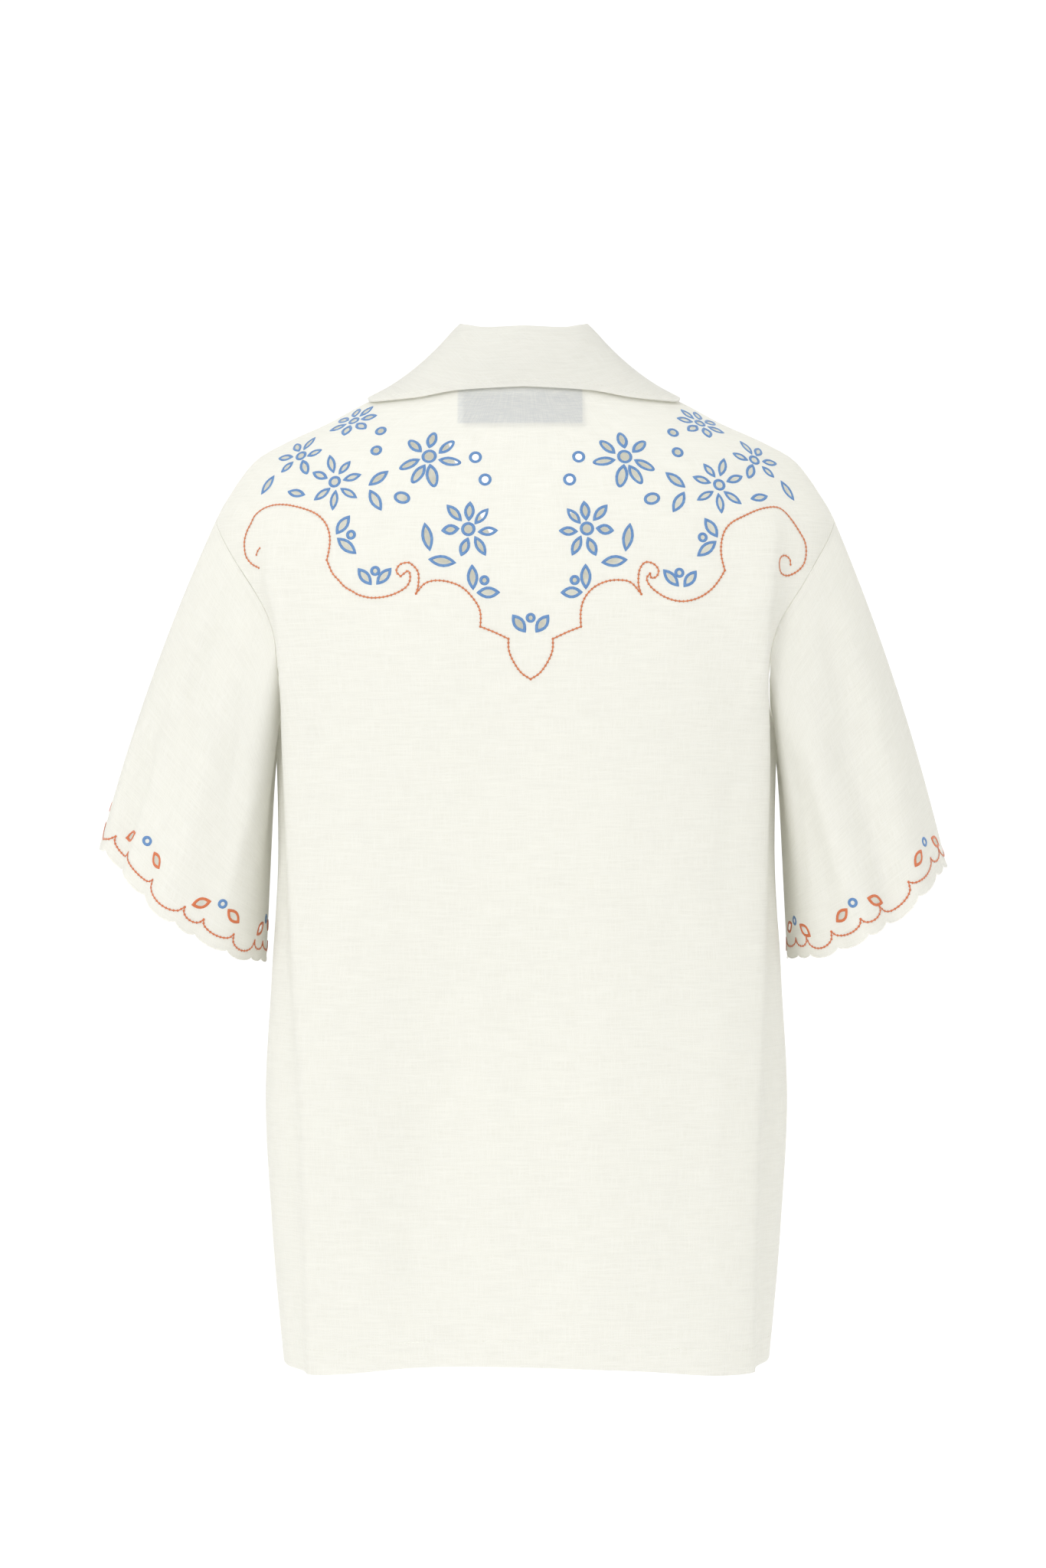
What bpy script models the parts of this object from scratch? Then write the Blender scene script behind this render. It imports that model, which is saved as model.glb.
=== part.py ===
"""Camp shirt with a cutwork yoke, filled out as it hangs on a general figure.

Metres, +Z up. The front faces -Y and the wearer's left side is +X. The origin is the
middle of the back neck, where the wearer's neck and shoulders hold the shirt up.

Every panel is drawn on one smooth body surface. A place on it is a turn and a height:
turn 0 is the centre back, 1 and -1 are the two sides, 2 and -2 are the centre front.
"""
import math

import bpy
import numpy as np
from mathutils import Vector
from mathutils.geometry import delaunay_2d_cdt

# Driving sizes
WALL = 0.0016
SEAM_GAP = 0.0004
LAID_GAP = 0.0006
LAP_GAP = 0.0011
LAP_RAMP = (0.0180, 0.0260)
COLLAR_EDGE_LIFT = 0.0034
NECK_HEIGHT = 0.003
NECK_SIDE_HEIGHT = 0.018
HEM_HEIGHT = -0.737
ARMHOLE_TOP = -0.094
ARMHOLE_BOTTOM = -0.268
ARMHOLE_REACH = 0.070
ARMHOLE_EGG = 0.25
SHOULDER_SEAM_FORWARD = 0.026
PLACKET_LAP = 0.015
BUTTON_HEIGHTS = (-0.175, -0.290, -0.405, -0.520, -0.635)
BUTTON_RADIUS = 0.0057
BUTTON_THICKNESS = 0.0022
LABEL_WIDTH = 0.093
LABEL_TOP = -0.006
LABEL_BOTTOM = -0.0315
LABEL_THICKNESS = 0.001
SATIN_WIDTH = 0.0021
DOMAIN_WIDTH = 0.27

# The places of the embroidery are given as they look from straight behind, this far off.
VIEW_DISTANCE = 3.5
VIEW_HEIGHT = -0.30
VIEW_PLANE = 0.11
# The yoke hangs a little towards the left at its top, and lower on the right shoulder.
YOKE_CENTRE = -0.0051
YOKE_SWAY = 0.0022
YOKE_TILT = 0.0016
YOKE_TILT_AT = 0.140
# Its right half is worked nearer the middle: all of it, more at its foot, and a little higher
RIGHT_INWARD = 0.0011
RIGHT_FOOT_INWARD = 0.0026
RIGHT_LIFT = 0.0010

# The body's rings; sway moves a ring towards the left, as the shirt hangs
BODY_COLUMNS = ("height", "half_width", "back", "front", "power", "sway")
BODY_ROWS = (
    (0.020, 0.0690, 0.0450, 0.049, 2.0, 0.0000),
    (0.012, 0.0800, 0.0480, 0.052, 2.0, 0.0000),
    (0.003, 0.0960, 0.0535, 0.058, 2.0, 0.0000),
    (-0.009, 0.1235, 0.0610, 0.067, 2.0, -0.0002),
    (-0.024, 0.1510, 0.0695, 0.077, 2.0, -0.0005),
    (-0.038, 0.1820, 0.0765, 0.085, 2.05, -0.0008),
    (-0.052, 0.2065, 0.0830, 0.092, 2.1, -0.0010),
    (-0.066, 0.2183, 0.0885, 0.0975, 2.2, -0.0010),
    (-0.078, 0.2262, 0.0925, 0.102, 2.25, -0.0010),
    (-0.092, 0.2345, 0.0965, 0.1065, 2.35, -0.0011),
    (-0.103, 0.2385, 0.0990, 0.109, 2.45, -0.0012),
    (-0.145, 0.2310, 0.1055, 0.117, 2.65, -0.0015),
    (-0.200, 0.2080, 0.1100, 0.123, 3.0, -0.0018),
    (-0.268, 0.1920, 0.1120, 0.124, 3.2, -0.0020),
    (-0.350, 0.1900, 0.1120, 0.122, 3.4, -0.0020),
    (-0.450, 0.1950, 0.1120, 0.119, 3.5, -0.0020),
    (-0.540, 0.1995, 0.1125, 0.117, 3.5, -0.0020),
    (-0.640, 0.1945, 0.1130, 0.116, 3.4, -0.0020),
    (-0.760, 0.1840, 0.1130, 0.115, 3.3, -0.0020),
)

# Vertical ridges that stand at both edges of the back, where it turns to the sides
RIDGE_COLUMNS = ("height", "left_x", "right_x", "rise")
RIDGE_ROWS = (
    (-0.070, 0.183, 0.187, 0.0000),
    (-0.110, 0.188, 0.187, 0.0032),
    (-0.145, 0.189, 0.184, 0.0070),
    (-0.175, 0.182, 0.179, 0.0085),
    (-0.210, 0.178, 0.177, 0.0080),
    (-0.268, 0.176, 0.179, 0.0075),
    (-0.350, 0.173, 0.178, 0.0070),
    (-0.450, 0.168, 0.176, 0.0065),
    (-0.540, 0.162, 0.173, 0.0060),
    (-0.640, 0.159, 0.170, 0.0060),
    (-0.760, 0.157, 0.168, 0.0060),
)
RIDGE_INSIDE_WIDTH = 0.022
RIDGE_OUTSIDE_WIDTH = 0.008
RIDGE_TROUGH_AT = 0.020
RIDGE_TROUGH_WIDTH = 0.012
RIDGE_TROUGH_SHARE = 0.45

# Soft folds of the body: turn, top and bottom height, rise (down is a trough), half width
FOLD_COLUMNS = ("turn", "drift", "top", "bottom", "rise", "width")
FOLD_ROWS = (
    (0.46, 0.03, -0.30, -0.80, 0.0030, 0.024),
    (0.25, -0.02, -0.38, -0.80, -0.0020, 0.030),
    (-0.20, 0.02, -0.33, -0.80, 0.0022, 0.028),
    (-0.50, -0.03, -0.26, -0.80, 0.0032, 0.022),
    (1.30, 0.05, -0.22, -0.80, 0.0060, 0.022),
    (1.58, 0.03, -0.30, -0.80, -0.0045, 0.026),
    (-1.28, -0.04, -0.24, -0.80, 0.0055, 0.024),
    (-1.62, -0.02, -0.28, -0.80, -0.0045, 0.026),
    (1.08, 0.00, -0.40, -0.80, -0.0040, 0.020),
    (-1.06, 0.00, -0.38, -0.80, -0.0040, 0.020),
)

# Sleeves: the cuff is an oval that slopes down to the body and sags at front and back.
CUFF_COLUMNS = ("top_x", "top_z", "foot_x", "foot_z", "deep", "sag", "phase", "shift", "lift")
CUFFS = {
    1: (0.3240, -0.3420, 0.1980, -0.4340, 0.0640, 0.0170, 43.0, 0.0117, 0.0055),
    -1: (0.3233, -0.3570, 0.2025, -0.4310, 0.0700, 0.0170, 34.0, 0.0040, 0.0015),
}
SLEEVE_BULGE = 0.006
SLEEVE_LENGTH = 0.256
SLEEVE_ROUND = 0.0708
CUFF_REPEATS = 6
CUFF_REPEAT = 0.074
SLEEVE_START_LIFT = 0.0010
SLEEVE_FOLD_COLUMNS = ("side", "angle", "drift", "start", "end", "rise", "width")
SLEEVE_FOLD_ROWS = (
    (1, 40.0, -4.0, 0.45, 1.30, -0.0075, 0.010),
    (1, 30.0, -4.0, 0.40, 1.30, 0.0045, 0.012),
    (1, 72.0, 6.0, 0.06, 1.25, 0.0040, 0.017),
    (1, 100.0, 6.0, 0.25, 1.25, -0.0030, 0.016),
    (1, 62.0, 0.0, 0.00, 0.60, -0.0045, 0.012),
    (1, 250.0, 8.0, 0.10, 1.25, -0.0050, 0.018),
    (1, 300.0, -6.0, 0.20, 1.25, 0.0045, 0.018),
    (-1, 66.0, 8.0, 0.02, 1.20, -0.0070, 0.013),
    (-1, 50.0, 6.0, 0.05, 1.25, 0.0045, 0.016),
    (-1, 92.0, 6.0, 0.10, 1.25, 0.0040, 0.016),
    (-1, 112.0, 0.0, 0.20, 1.10, -0.0030, 0.014),
    (-1, 255.0, 6.0, 0.15, 1.25, -0.0050, 0.018),
    (-1, 305.0, -6.0, 0.10, 1.25, 0.0045, 0.018),
)
# Scallops of the cuff's edge: start and end round the repeat, and depth
SCALLOP_COLUMNS = ("start", "end", "depth")
SCALLOP_ROWS = (
    (-0.0185, -0.0015, 0.0045),
    (-0.0015, 0.0275, 0.0050),
    (0.0275, 0.0555, 0.0065),
)
CUFF_LEAF_COLUMNS = ("along", "up", "length", "width", "angle")
CUFF_LEAF_ROWS = (
    (-0.022, 0.0160, 0.0160, 0.0090, 45.0),
    (0.008, 0.0190, 0.0165, 0.0090, -20.0),
)

# Yoke motifs, for the side +X: both ends of each eye as seen from behind, and its width
EYE_COLUMNS = ("inner_x", "inner_z", "outer_x", "outer_z", "width", "blunt")
EYE_ROWS = (
    (0.0733, -0.0511, 0.0693, -0.0391, 0.0083, 0.9),
    (0.0663, -0.0550, 0.0548, -0.0454, 0.0078, 0.9),
    (0.0668, -0.0595, 0.0496, -0.0618, 0.0076, 0.9),
    (0.0728, -0.0626, 0.0693, -0.0801, 0.0095, 0.9),
    (0.0763, -0.0631, 0.0863, -0.0773, 0.0085, 0.9),
    (0.0803, -0.0592, 0.0958, -0.0669, 0.0076, 0.9),
    (0.0786, -0.0540, 0.0883, -0.0453, 0.0080, 0.9),
    (0.0442, -0.1053, 0.0429, -0.0903, 0.0080, 0.0),
    (0.0400, -0.1075, 0.0294, -0.0955, 0.0070, 0.0),
    (0.0379, -0.1132, 0.0226, -0.1119, 0.0073, 0.0),
    (0.0403, -0.1162, 0.0324, -0.1309, 0.0074, 0.0),
    (0.0450, -0.1173, 0.0509, -0.1314, 0.0079, 0.1),
    (0.0513, -0.1107, 0.0651, -0.1125, 0.0084, 0.1),
    (0.0492, -0.1053, 0.0604, -0.0930, 0.0076, 0.0),
    (0.1443, -0.0707, 0.1473, -0.0570, 0.0068, 0.0),
    (0.1410, -0.0716, 0.1321, -0.0613, 0.0065, 0.0),
    (0.1381, -0.0759, 0.1240, -0.0713, 0.0066, 0.0),
    (0.1398, -0.0818, 0.1272, -0.0890, 0.0062, 0.0),
    (0.1430, -0.0830, 0.1455, -0.0986, 0.0066, 0.0),
    (0.1471, -0.0817, 0.1596, -0.0914, 0.0070, 0.0),
    (0.1491, -0.0748, 0.1604, -0.0703, 0.0070, 0.2),
    (0.1701, -0.0549, 0.1723, -0.0492, 0.0070, 0.6),
    (0.1668, -0.0539, 0.1581, -0.0439, 0.0065, 0.1),
    (0.1646, -0.0585, 0.1534, -0.0533, 0.0065, 0.6),
    (0.1678, -0.0611, 0.1643, -0.0718, 0.0076, 0.6),
    (0.1746, -0.0625, 0.1838, -0.0709, 0.0065, 0.3),
    (0.1748, -0.0592, 0.1858, -0.0604, 0.0068, 0.6),
    (0.1888, -0.0730, 0.1991, -0.0877, 0.0080, 0.0),
    (0.1658, -0.0876, 0.1788, -0.0853, 0.0074, 0.2),
    (0.1038, -0.0683, 0.1188, -0.0796, 0.0083, 0.0),
    (0.1178, -0.0825, 0.1090, -0.0981, 0.0085, 0.0),
    (0.0772, -0.1065, 0.0738, -0.1279, 0.0086, 0.0),
    (0.0755, -0.1339, 0.0546, -0.1364, 0.0090, 0.0),
    (0.1326, -0.1020, 0.1435, -0.1164, 0.0088, 0.0),
    (0.1430, -0.1190, 0.1289, -0.1307, 0.0086, 0.0),
    (0.1281, -0.1414, 0.1181, -0.1539, 0.0082, 0.0),
    (0.1031, -0.1408, 0.1146, -0.1535, 0.0082, 0.0),
    (0.0429, -0.1373, 0.0425, -0.1566, 0.0086, 0.0),
    (0.0402, -0.1585, 0.0225, -0.1581, 0.0090, 0.0),
    (0.0137, -0.1746, 0.0037, -0.1880, 0.0090, 0.0),
    (0.0996, -0.0863, 0.0879, -0.0900, 0.0098, 1.0),
)
# Rings: x, z and outer radius; the small ones stay closed here
LARGEST_CLOSED_RING = 0.0040
RING_ROWS = (
    (0.0735, -0.0571, 0.0058),
    (0.0448, -0.1111, 0.0054),
    (0.1440, -0.0771, 0.0049),
    (0.1691, -0.0581, 0.0046),
    (0.1296, -0.0314, 0.0046),
    (0.1096, -0.0386, 0.0046),
    (0.1130, -0.0532, 0.0046),
    (0.0390, -0.0574, 0.0049),
    (0.0318, -0.0740, 0.0049),
    (0.1325, -0.1165, 0.0038),
    (0.1153, -0.1432, 0.0038),
    (0.0340, -0.1492, 0.0038),
    (0.0000, -0.1770, 0.0037),
)
# The flower on top of the shoulder: angles from the outward way
FLOWER_COLUMNS = ("x", "z", "petals", "first", "reach", "length", "width")
TOP_FLOWER = (0.1297, -0.0315, 7, 112.3, 0.0128, 0.0140, 0.0082)

# The front opening's roll line, and the lapel that turns out from it
ROLL_COLUMNS = ("height", "x")
ROLL_ROWS = (
    (0.018, 0.0680),
    (0.003, 0.0710),
    (-0.020, 0.0660),
    (-0.050, 0.0540),
    (-0.090, 0.0345),
    (-0.130, 0.0130),
    (-0.155, -0.0010),
)
LAPEL_COLUMNS = ("x", "height")
LAPEL_ROWS = (
    (0.0895, -0.0668),
    (0.1130, -0.1010),
    (0.0830, -0.1170),
    (0.0450, -0.1390),
    (0.0120, -0.1560),
)
LAPEL_FILL = ((0.085, -0.085), (0.060, -0.090), (0.050, -0.115))
LAPEL_TOP = -0.0500
LAPEL_FOOT = -0.1500
COLLAR_COLUMNS = ("t", "seam", "edge", "edge_height", "rise", "lean", "bow")
COLLAR_ROWS = (
    (0.00, 0.00, 0.00, -0.0016, 0.0400, 0.0050, 0.0060),
    (0.20, 0.36, 0.37, -0.0046, 0.0378, 0.0080, 0.0050),
    (0.30, 0.55, 0.57, -0.0098, 0.0335, 0.0120, 0.0020),
    (0.40, 0.75, 0.78, -0.0112, 0.0285, 0.0190, -0.0030),
    (0.50, 0.96, 0.99, -0.0060, 0.0258, 0.0225, -0.0052),
    (0.60, 1.13, 1.15, -0.0100, 0.0235, 0.0215, -0.0040),
    (0.70, 1.30, 1.31, -0.0240, 0.0200, 0.0150, -0.0010),
    (0.85, 1.50, 1.46, -0.0520, 0.0105, 0.0060, 0.0030),
    (1.00, 1.70, 1.55, -0.0750, 0.0040, 0.0000, 0.0030),
)
COLLAR_END_HEIGHT = -0.0450
COLLAR_ROLL_RADIUS = 0.0030


def clear_scene():
    for thing in list(bpy.data.objects):
        bpy.data.objects.remove(thing, do_unlink=True)


def column(rows, names, name):
    return np.array([row[names.index(name)] for row in rows], dtype=float)


def smooth_line(places, values):
    """A monotone cubic through a table's rows; places rise or fall steadily."""
    order = np.argsort(places)
    xs = np.asarray(places, dtype=float)[order]
    ys = np.asarray(values, dtype=float)[order]
    step = np.diff(xs)
    slope = np.diff(ys) / step
    lean = np.zeros(len(xs))
    for i in range(1, len(xs) - 1):
        if slope[i - 1] * slope[i] > 0:
            left = 2 * step[i] + step[i - 1]
            right = step[i] + 2 * step[i - 1]
            lean[i] = (left + right) / (left / slope[i - 1] + right / slope[i])
    lean[0] = slope[0]
    lean[-1] = slope[-1]

    def value(at):
        at = np.clip(np.asarray(at, dtype=float), xs[0], xs[-1])
        i = np.clip(np.searchsorted(xs, at, side="right") - 1, 0, len(xs) - 2)
        h = step[i]
        u = (at - xs[i]) / h
        return (ys[i] * (1 + 2 * u) * (1 - u) ** 2 + h * lean[i] * u * (1 - u) ** 2
                + ys[i + 1] * u * u * (3 - 2 * u) + h * lean[i + 1] * u * u * (u - 1))

    return value


def table_line(rows, names, place, value):
    return smooth_line(column(rows, names, place), column(rows, names, value))


half_width_at = table_line(BODY_ROWS, BODY_COLUMNS, "height", "half_width")
back_depth_at = table_line(BODY_ROWS, BODY_COLUMNS, "height", "back")
front_depth_at = table_line(BODY_ROWS, BODY_COLUMNS, "height", "front")
power_at = table_line(BODY_ROWS, BODY_COLUMNS, "height", "power")
sway_at = table_line(BODY_ROWS, BODY_COLUMNS, "height", "sway")
ridge_rise_at = table_line(RIDGE_ROWS, RIDGE_COLUMNS, "height", "rise")
ridge_x_at = {
    1: table_line(RIDGE_ROWS, RIDGE_COLUMNS, "height", "left_x"),
    -1: table_line(RIDGE_ROWS, RIDGE_COLUMNS, "height", "right_x"),
}
roll_x_at = table_line(ROLL_ROWS, ROLL_COLUMNS, "height", "x")


def smoothstep(low, high, value):
    u = np.clip((np.asarray(value, dtype=float) - low) / (high - low), 0, 1)
    return u * u * (3 - 2 * u)


def quarter(height, front):
    """Points along a quarter of the body's ring, from its middle to the side."""
    height = np.atleast_1d(np.asarray(height, dtype=float))
    front = np.atleast_1d(front)
    angle = np.linspace(0, math.pi / 2, 49)
    bend = (2 / power_at(height))[:, None]
    depth = np.where(front, front_depth_at(height), back_depth_at(height))[:, None]
    x = half_width_at(height)[:, None] * np.sin(angle)[None, :] ** bend
    y = depth * np.cos(angle)[None, :] ** bend
    length = np.zeros_like(x)
    length[:, 1:] = np.cumsum(np.hypot(np.diff(x, axis=1), np.diff(y, axis=1)), axis=1)
    return x, y, length


def ring_point(turn, height):
    """The plain body, before its folds."""
    turn = np.atleast_1d(np.asarray(turn, dtype=float))
    height = np.broadcast_to(np.asarray(height, dtype=float), turn.shape)
    wrapped = (turn + 2) % 4 - 2
    side = np.where(wrapped < 0, -1.0, 1.0)
    place = np.abs(wrapped)
    front = place > 1
    share = np.where(front, 2 - place, place)
    x, y, length = quarter(height, front)
    target = share * length[:, -1]
    index = np.clip((length < target[:, None]).sum(axis=1) - 1, 0, x.shape[1] - 2)
    row = np.arange(len(index))
    span = np.maximum(length[row, index + 1] - length[row, index], 1e-12)
    u = (target - length[row, index]) / span
    px = x[row, index] * (1 - u) + x[row, index + 1] * u
    py = y[row, index] * (1 - u) + y[row, index + 1] * u
    return np.stack([px * side + sway_at(height), np.where(front, -py, py), height], axis=1)


def turn_at(height, front, x=None, y=None):
    """The turn on the +X side where the plain ring has this x, or this y."""
    xs, ys, length = quarter(height, front)
    share = length[0] / length[0][-1]
    if x is not None:
        place = float(np.interp(abs(x), xs[0], share)) * (1 if x >= 0 else -1)
    else:
        place = float(np.interp(abs(y), ys[0][::-1], share[::-1]))
    return 2 - place if front else place


def back_turns(height, x):
    """The turns on the back where the plain rings have these x from their middles."""
    xs, _, length = quarter(height, False)
    reach = np.minimum(np.abs(x), xs[:, -1])
    index = np.clip((xs < reach[:, None]).sum(axis=1) - 1, 0, xs.shape[1] - 2)
    row = np.arange(len(index))
    u = (reach - xs[row, index]) / np.maximum(xs[row, index + 1] - xs[row, index], 1e-12)
    run = length[row, index] * (1 - u) + length[row, index + 1] * u
    return np.sign(x) * run / length[:, -1]


def quarter_length(height, front):
    return quarter(height, front)[2][:, -1]


def ridge_turns(side):
    heights = np.linspace(-0.06, -0.77, 40)
    turns = [turn_at(h, False, x=float(ridge_x_at[side](h) - side * sway_at(h))) for h in heights]
    return smooth_line(heights, turns)


ridge_turn_at = {1: ridge_turns(1), -1: ridge_turns(-1)}


def fold_rise(turn, height):
    """How far the folds lift the cloth off the plain body."""
    turn = np.asarray(turn, dtype=float)
    height = np.asarray(height, dtype=float)
    size = quarter_length(height, np.abs(turn) > 1)
    rise = np.zeros(turn.shape)
    for side in (1, -1):
        past = (side * turn - ridge_turn_at[side](height)) * size
        width = np.where(past < 0, RIDGE_INSIDE_WIDTH, RIDGE_OUTSIDE_WIDTH)
        crest = np.exp(-(past / width) ** 2)
        trough = np.exp(-((past - RIDGE_TROUGH_AT) / RIDGE_TROUGH_WIDTH) ** 2)
        rise += ridge_rise_at(height) * (crest - RIDGE_TROUGH_SHARE * trough)
    for row in FOLD_ROWS:
        fold = dict(zip(FOLD_COLUMNS, row))
        down = (fold["top"] - height) / (fold["top"] - fold["bottom"])
        centre = fold["turn"] + fold["drift"] * down
        across = (turn - centre) * size / fold["width"]
        rise += fold["rise"] * smoothstep(0, 0.45, down) * np.exp(-across ** 2)
    return rise


def normals_of(surface, turn, height, step=2e-4):
    across = surface(turn + step, height) - surface(turn - step, height)
    up = surface(turn, height + step) - surface(turn, height - step)
    normal = np.cross(across, up)
    return normal / np.linalg.norm(normal, axis=1)[:, None]


def body_point(turn, height):
    """The outer face of the cloth, folds and all."""
    turn = np.atleast_1d(np.asarray(turn, dtype=float))
    height = np.broadcast_to(np.asarray(height, dtype=float), turn.shape).astype(float)
    plain = ring_point(turn, height)
    normal = -normals_of(ring_point, turn, height)
    return plain + normal * fold_rise(turn, height)[:, None]


def body_normal(turn, height):
    turn = np.atleast_1d(np.asarray(turn, dtype=float))
    height = np.broadcast_to(np.asarray(height, dtype=float), turn.shape).astype(float)
    return -normals_of(body_point, turn, height)


def right_front_point(turn, height):
    """The right front's middle runs under the left front's."""
    point = body_point(turn, height)
    from_middle = sway_at(point[:, 2]) - point[:, 0]
    under = (1 - smoothstep(*LAP_RAMP, from_middle)) * (point[:, 1] < 0)
    return point - body_normal(turn, height) * (under * (WALL + LAP_GAP))[:, None]


def seen_places(side, points):
    """Turns and heights of places on one side of the back, as seen from behind."""
    x, z = np.asarray(points, dtype=float).T
    shift = YOKE_SWAY * smoothstep(-0.18, -0.08, z)
    lift = side * YOKE_TILT * (np.abs(x) / YOKE_TILT_AT) ** 1.5
    if side < 0:
        outer = smoothstep(0.020, 0.045, x)
        shift = shift + RIGHT_INWARD * outer * (1 - smoothstep(0.145, 0.165, x))
        shift = shift + RIGHT_FOOT_INWARD * smoothstep(0.050, 0.110, x) * smoothstep(0.100, 0.130, -z)
        lift = lift + RIGHT_LIFT * outer
    seen_x = YOKE_CENTRE + side * x + shift
    seen_z = z + lift
    true_x, true_z = seen_x, seen_z
    for _ in range(6):
        turn = back_turns(true_z, true_x - sway_at(true_z))
        depth = body_point(turn, true_z)[:, 1]
        scale = 1 + (VIEW_PLANE - depth) / VIEW_DISTANCE
        true_x = seen_x * scale
        true_z = VIEW_HEIGHT + (seen_z - VIEW_HEIGHT) * scale
    return np.stack([turn, true_z], axis=1)


def walk(surface, start, offsets, steps=4):
    """Carries flat offsets (across, up) in metres over a surface from their starts."""
    turn = np.array(np.broadcast_to(start[0], len(offsets)), dtype=float)
    height = np.array(np.broadcast_to(start[1], len(offsets)), dtype=float)
    move = np.asarray(offsets, dtype=float) / steps
    small = 2e-4
    for _ in range(steps):
        along = (surface(turn + small, height) - surface(turn - small, height)) / (2 * small)
        up = (surface(turn, height + small) - surface(turn, height - small)) / (2 * small)
        size = np.linalg.norm(along, axis=1)
        first = along / size[:, None]
        lean = (up * first).sum(axis=1)
        rest = np.linalg.norm(up - first * lean[:, None], axis=1)
        rise = move[:, 1] / rest
        turn = turn + (move[:, 0] - lean * rise) / size
        height = height + rise
    return list(zip(turn.tolist(), height.tolist()))


# Outlines of the motifs, flat, about their own middles
def turned(points, angle, at=(0.0, 0.0)):
    c, s = math.cos(math.radians(angle)), math.sin(math.radians(angle))
    return [(at[0] + x * c - y * s, at[1] + x * s + y * c) for x, y in points]


def flat_offset(surface, start, end):
    """How far across and up one place lies from another on a surface."""
    small = 2e-4
    turn, height = start
    along = (surface(turn + small, height) - surface(turn - small, height))[0] / (2 * small)
    up = (surface(turn, height + small) - surface(turn, height - small))[0] / (2 * small)
    size = np.linalg.norm(along)
    lean = float(up @ along) / size
    rest = math.sqrt(float(up @ up) - lean * lean)
    rise = end[1] - height
    return (end[0] - turn) * size + rise * lean, rise * rest


def eye_outline(length, width, blunt, inset=0.0, steps=3):
    """A leaf from its inner end to its outer one, which blunt makes round; 1 is an oval."""
    first = -length / 2 + (1.5 if blunt < 1 else 1.0) * inset
    last = length / 2 - (1.5 - 0.5 * blunt) * inset
    side = width / 2 - min(0.95 * inset, 0.26 * width)
    upper = []
    for i in range(steps + 1):
        angle = math.pi * i / steps
        share = (1 - math.cos(angle)) / 2
        rounding = blunt * share if blunt < 1 else 1.0
        bulge = math.sin(angle) ** 2 * (1 - rounding) + math.sin(angle) * rounding
        upper.append((first + (last - first) * share, side * bulge))
    return upper + [(x, -y) for x, y in upper[-2:0:-1]]


def yoke_eyes(side):
    """Every eye of one side: its place, and its shift, angle and size on the cloth."""
    rows = [dict(zip(EYE_COLUMNS, row)) for row in EYE_ROWS]
    inner = seen_places(side, [(row["inner_x"], row["inner_z"]) for row in rows])
    outer = seen_places(side, [(row["outer_x"], row["outer_z"]) for row in rows])
    eyes = []
    for row, start, end in zip(rows, inner, outer):
        middle = (start + end) / 2
        across, up = flat_offset(body_point, middle, end)
        eyes.append((middle, (0.0, 0.0), math.degrees(math.atan2(up, across)),
                     2 * math.hypot(across, up), row["width"], row["blunt"]))
    rings = seen_places(side, [row[:2] for row in RING_ROWS])
    for row, middle in zip(RING_ROWS, rings):
        if row[0] > 0 or side > 0:
            eyes.append((middle, (0.0, 0.0), 0.0, 2 * row[2], 2 * row[2], 1.0))
    flower = dict(zip(FLOWER_COLUMNS, TOP_FLOWER))
    middle = seen_places(side, [(flower["x"], flower["z"])])[0]
    for i in range(flower["petals"]):
        angle = flower["first"] + 360.0 * i / flower["petals"]
        angle = angle if side > 0 else 180 - angle
        shift = turned([(flower["reach"], 0.0)], angle)[0]
        eyes.append((middle, shift, angle, flower["length"], flower["width"], 0.3))
    return eyes


def yoke_holes(side):
    """The open eyes of one side of the yoke, as outlines in turn and height."""
    holes = []
    for middle, shift, angle, length, width, blunt in yoke_eyes(side):
        if length > 2 * LARGEST_CLOSED_RING:
            outline = eye_outline(length, width, blunt, inset=SATIN_WIDTH)
            holes.append(walk(body_point, middle, turned(outline, angle, at=shift)))
    return holes


# Panels
def inside(polygon, points):
    """Which points lie in a closed polygon."""
    poly = np.asarray(polygon)
    pts = np.asarray(points)
    x0, y0 = poly[:, 0], poly[:, 1]
    x1, y1 = np.roll(x0, -1), np.roll(y0, -1)
    within = np.zeros(len(pts), dtype=bool)
    for ax, ay, bx, by in zip(x0, y0, x1, y1):
        if ay == by:
            continue
        crosses = (ay > pts[:, 1]) != (by > pts[:, 1])
        at = (bx - ax) * (pts[:, 1] - ay) / (by - ay) + ax
        within ^= crosses & (pts[:, 0] < at)
    return within


def distance_to_loop(loop, points):
    loop = np.asarray(loop)
    pts = np.asarray(points)
    best = np.full(len(pts), np.inf)
    for a, b in zip(loop, np.roll(loop, -1, axis=0)):
        edge = b - a
        u = np.clip(((pts - a) @ edge) / max(edge @ edge, 1e-18), 0, 1)
        best = np.minimum(best, np.linalg.norm(pts - a - u[:, None] * edge, axis=1))
    return best


def cut_mesh(outline, holes, fill, clear=0.004):
    """Triangles of a flat outline with holes, through the fill points that are clear."""
    if fill:
        fill = np.asarray(fill)
        keep = inside(outline, fill) & (distance_to_loop(outline, fill) > clear)
        for hole in holes:
            keep &= ~inside(hole, fill)
            keep &= distance_to_loop(hole, fill) > clear * 0.8
        fill = [tuple(p) for p in fill[keep]]
    loops = [outline] + holes
    points = [Vector(p) for loop in loops for p in loop]
    edges = []
    start = 0
    for loop in loops:
        edges += [(start + i, start + (i + 1) % len(loop)) for i in range(len(loop))]
        start += len(loop)
    points += [Vector(p) for p in fill]
    verts, _, faces, _, _, _ = delaunay_2d_cdt(points, edges, [], 0, 1e-7)
    places = np.array([tuple(v) for v in verts])
    faces = [tuple(f) for f in faces]
    middle = np.array([places[list(f)].mean(axis=0) for f in faces])
    keep = inside(outline, middle)
    for hole in holes:
        keep &= ~inside(hole, middle)
    return places, [f for f, k in zip(faces, keep) if k]


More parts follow.
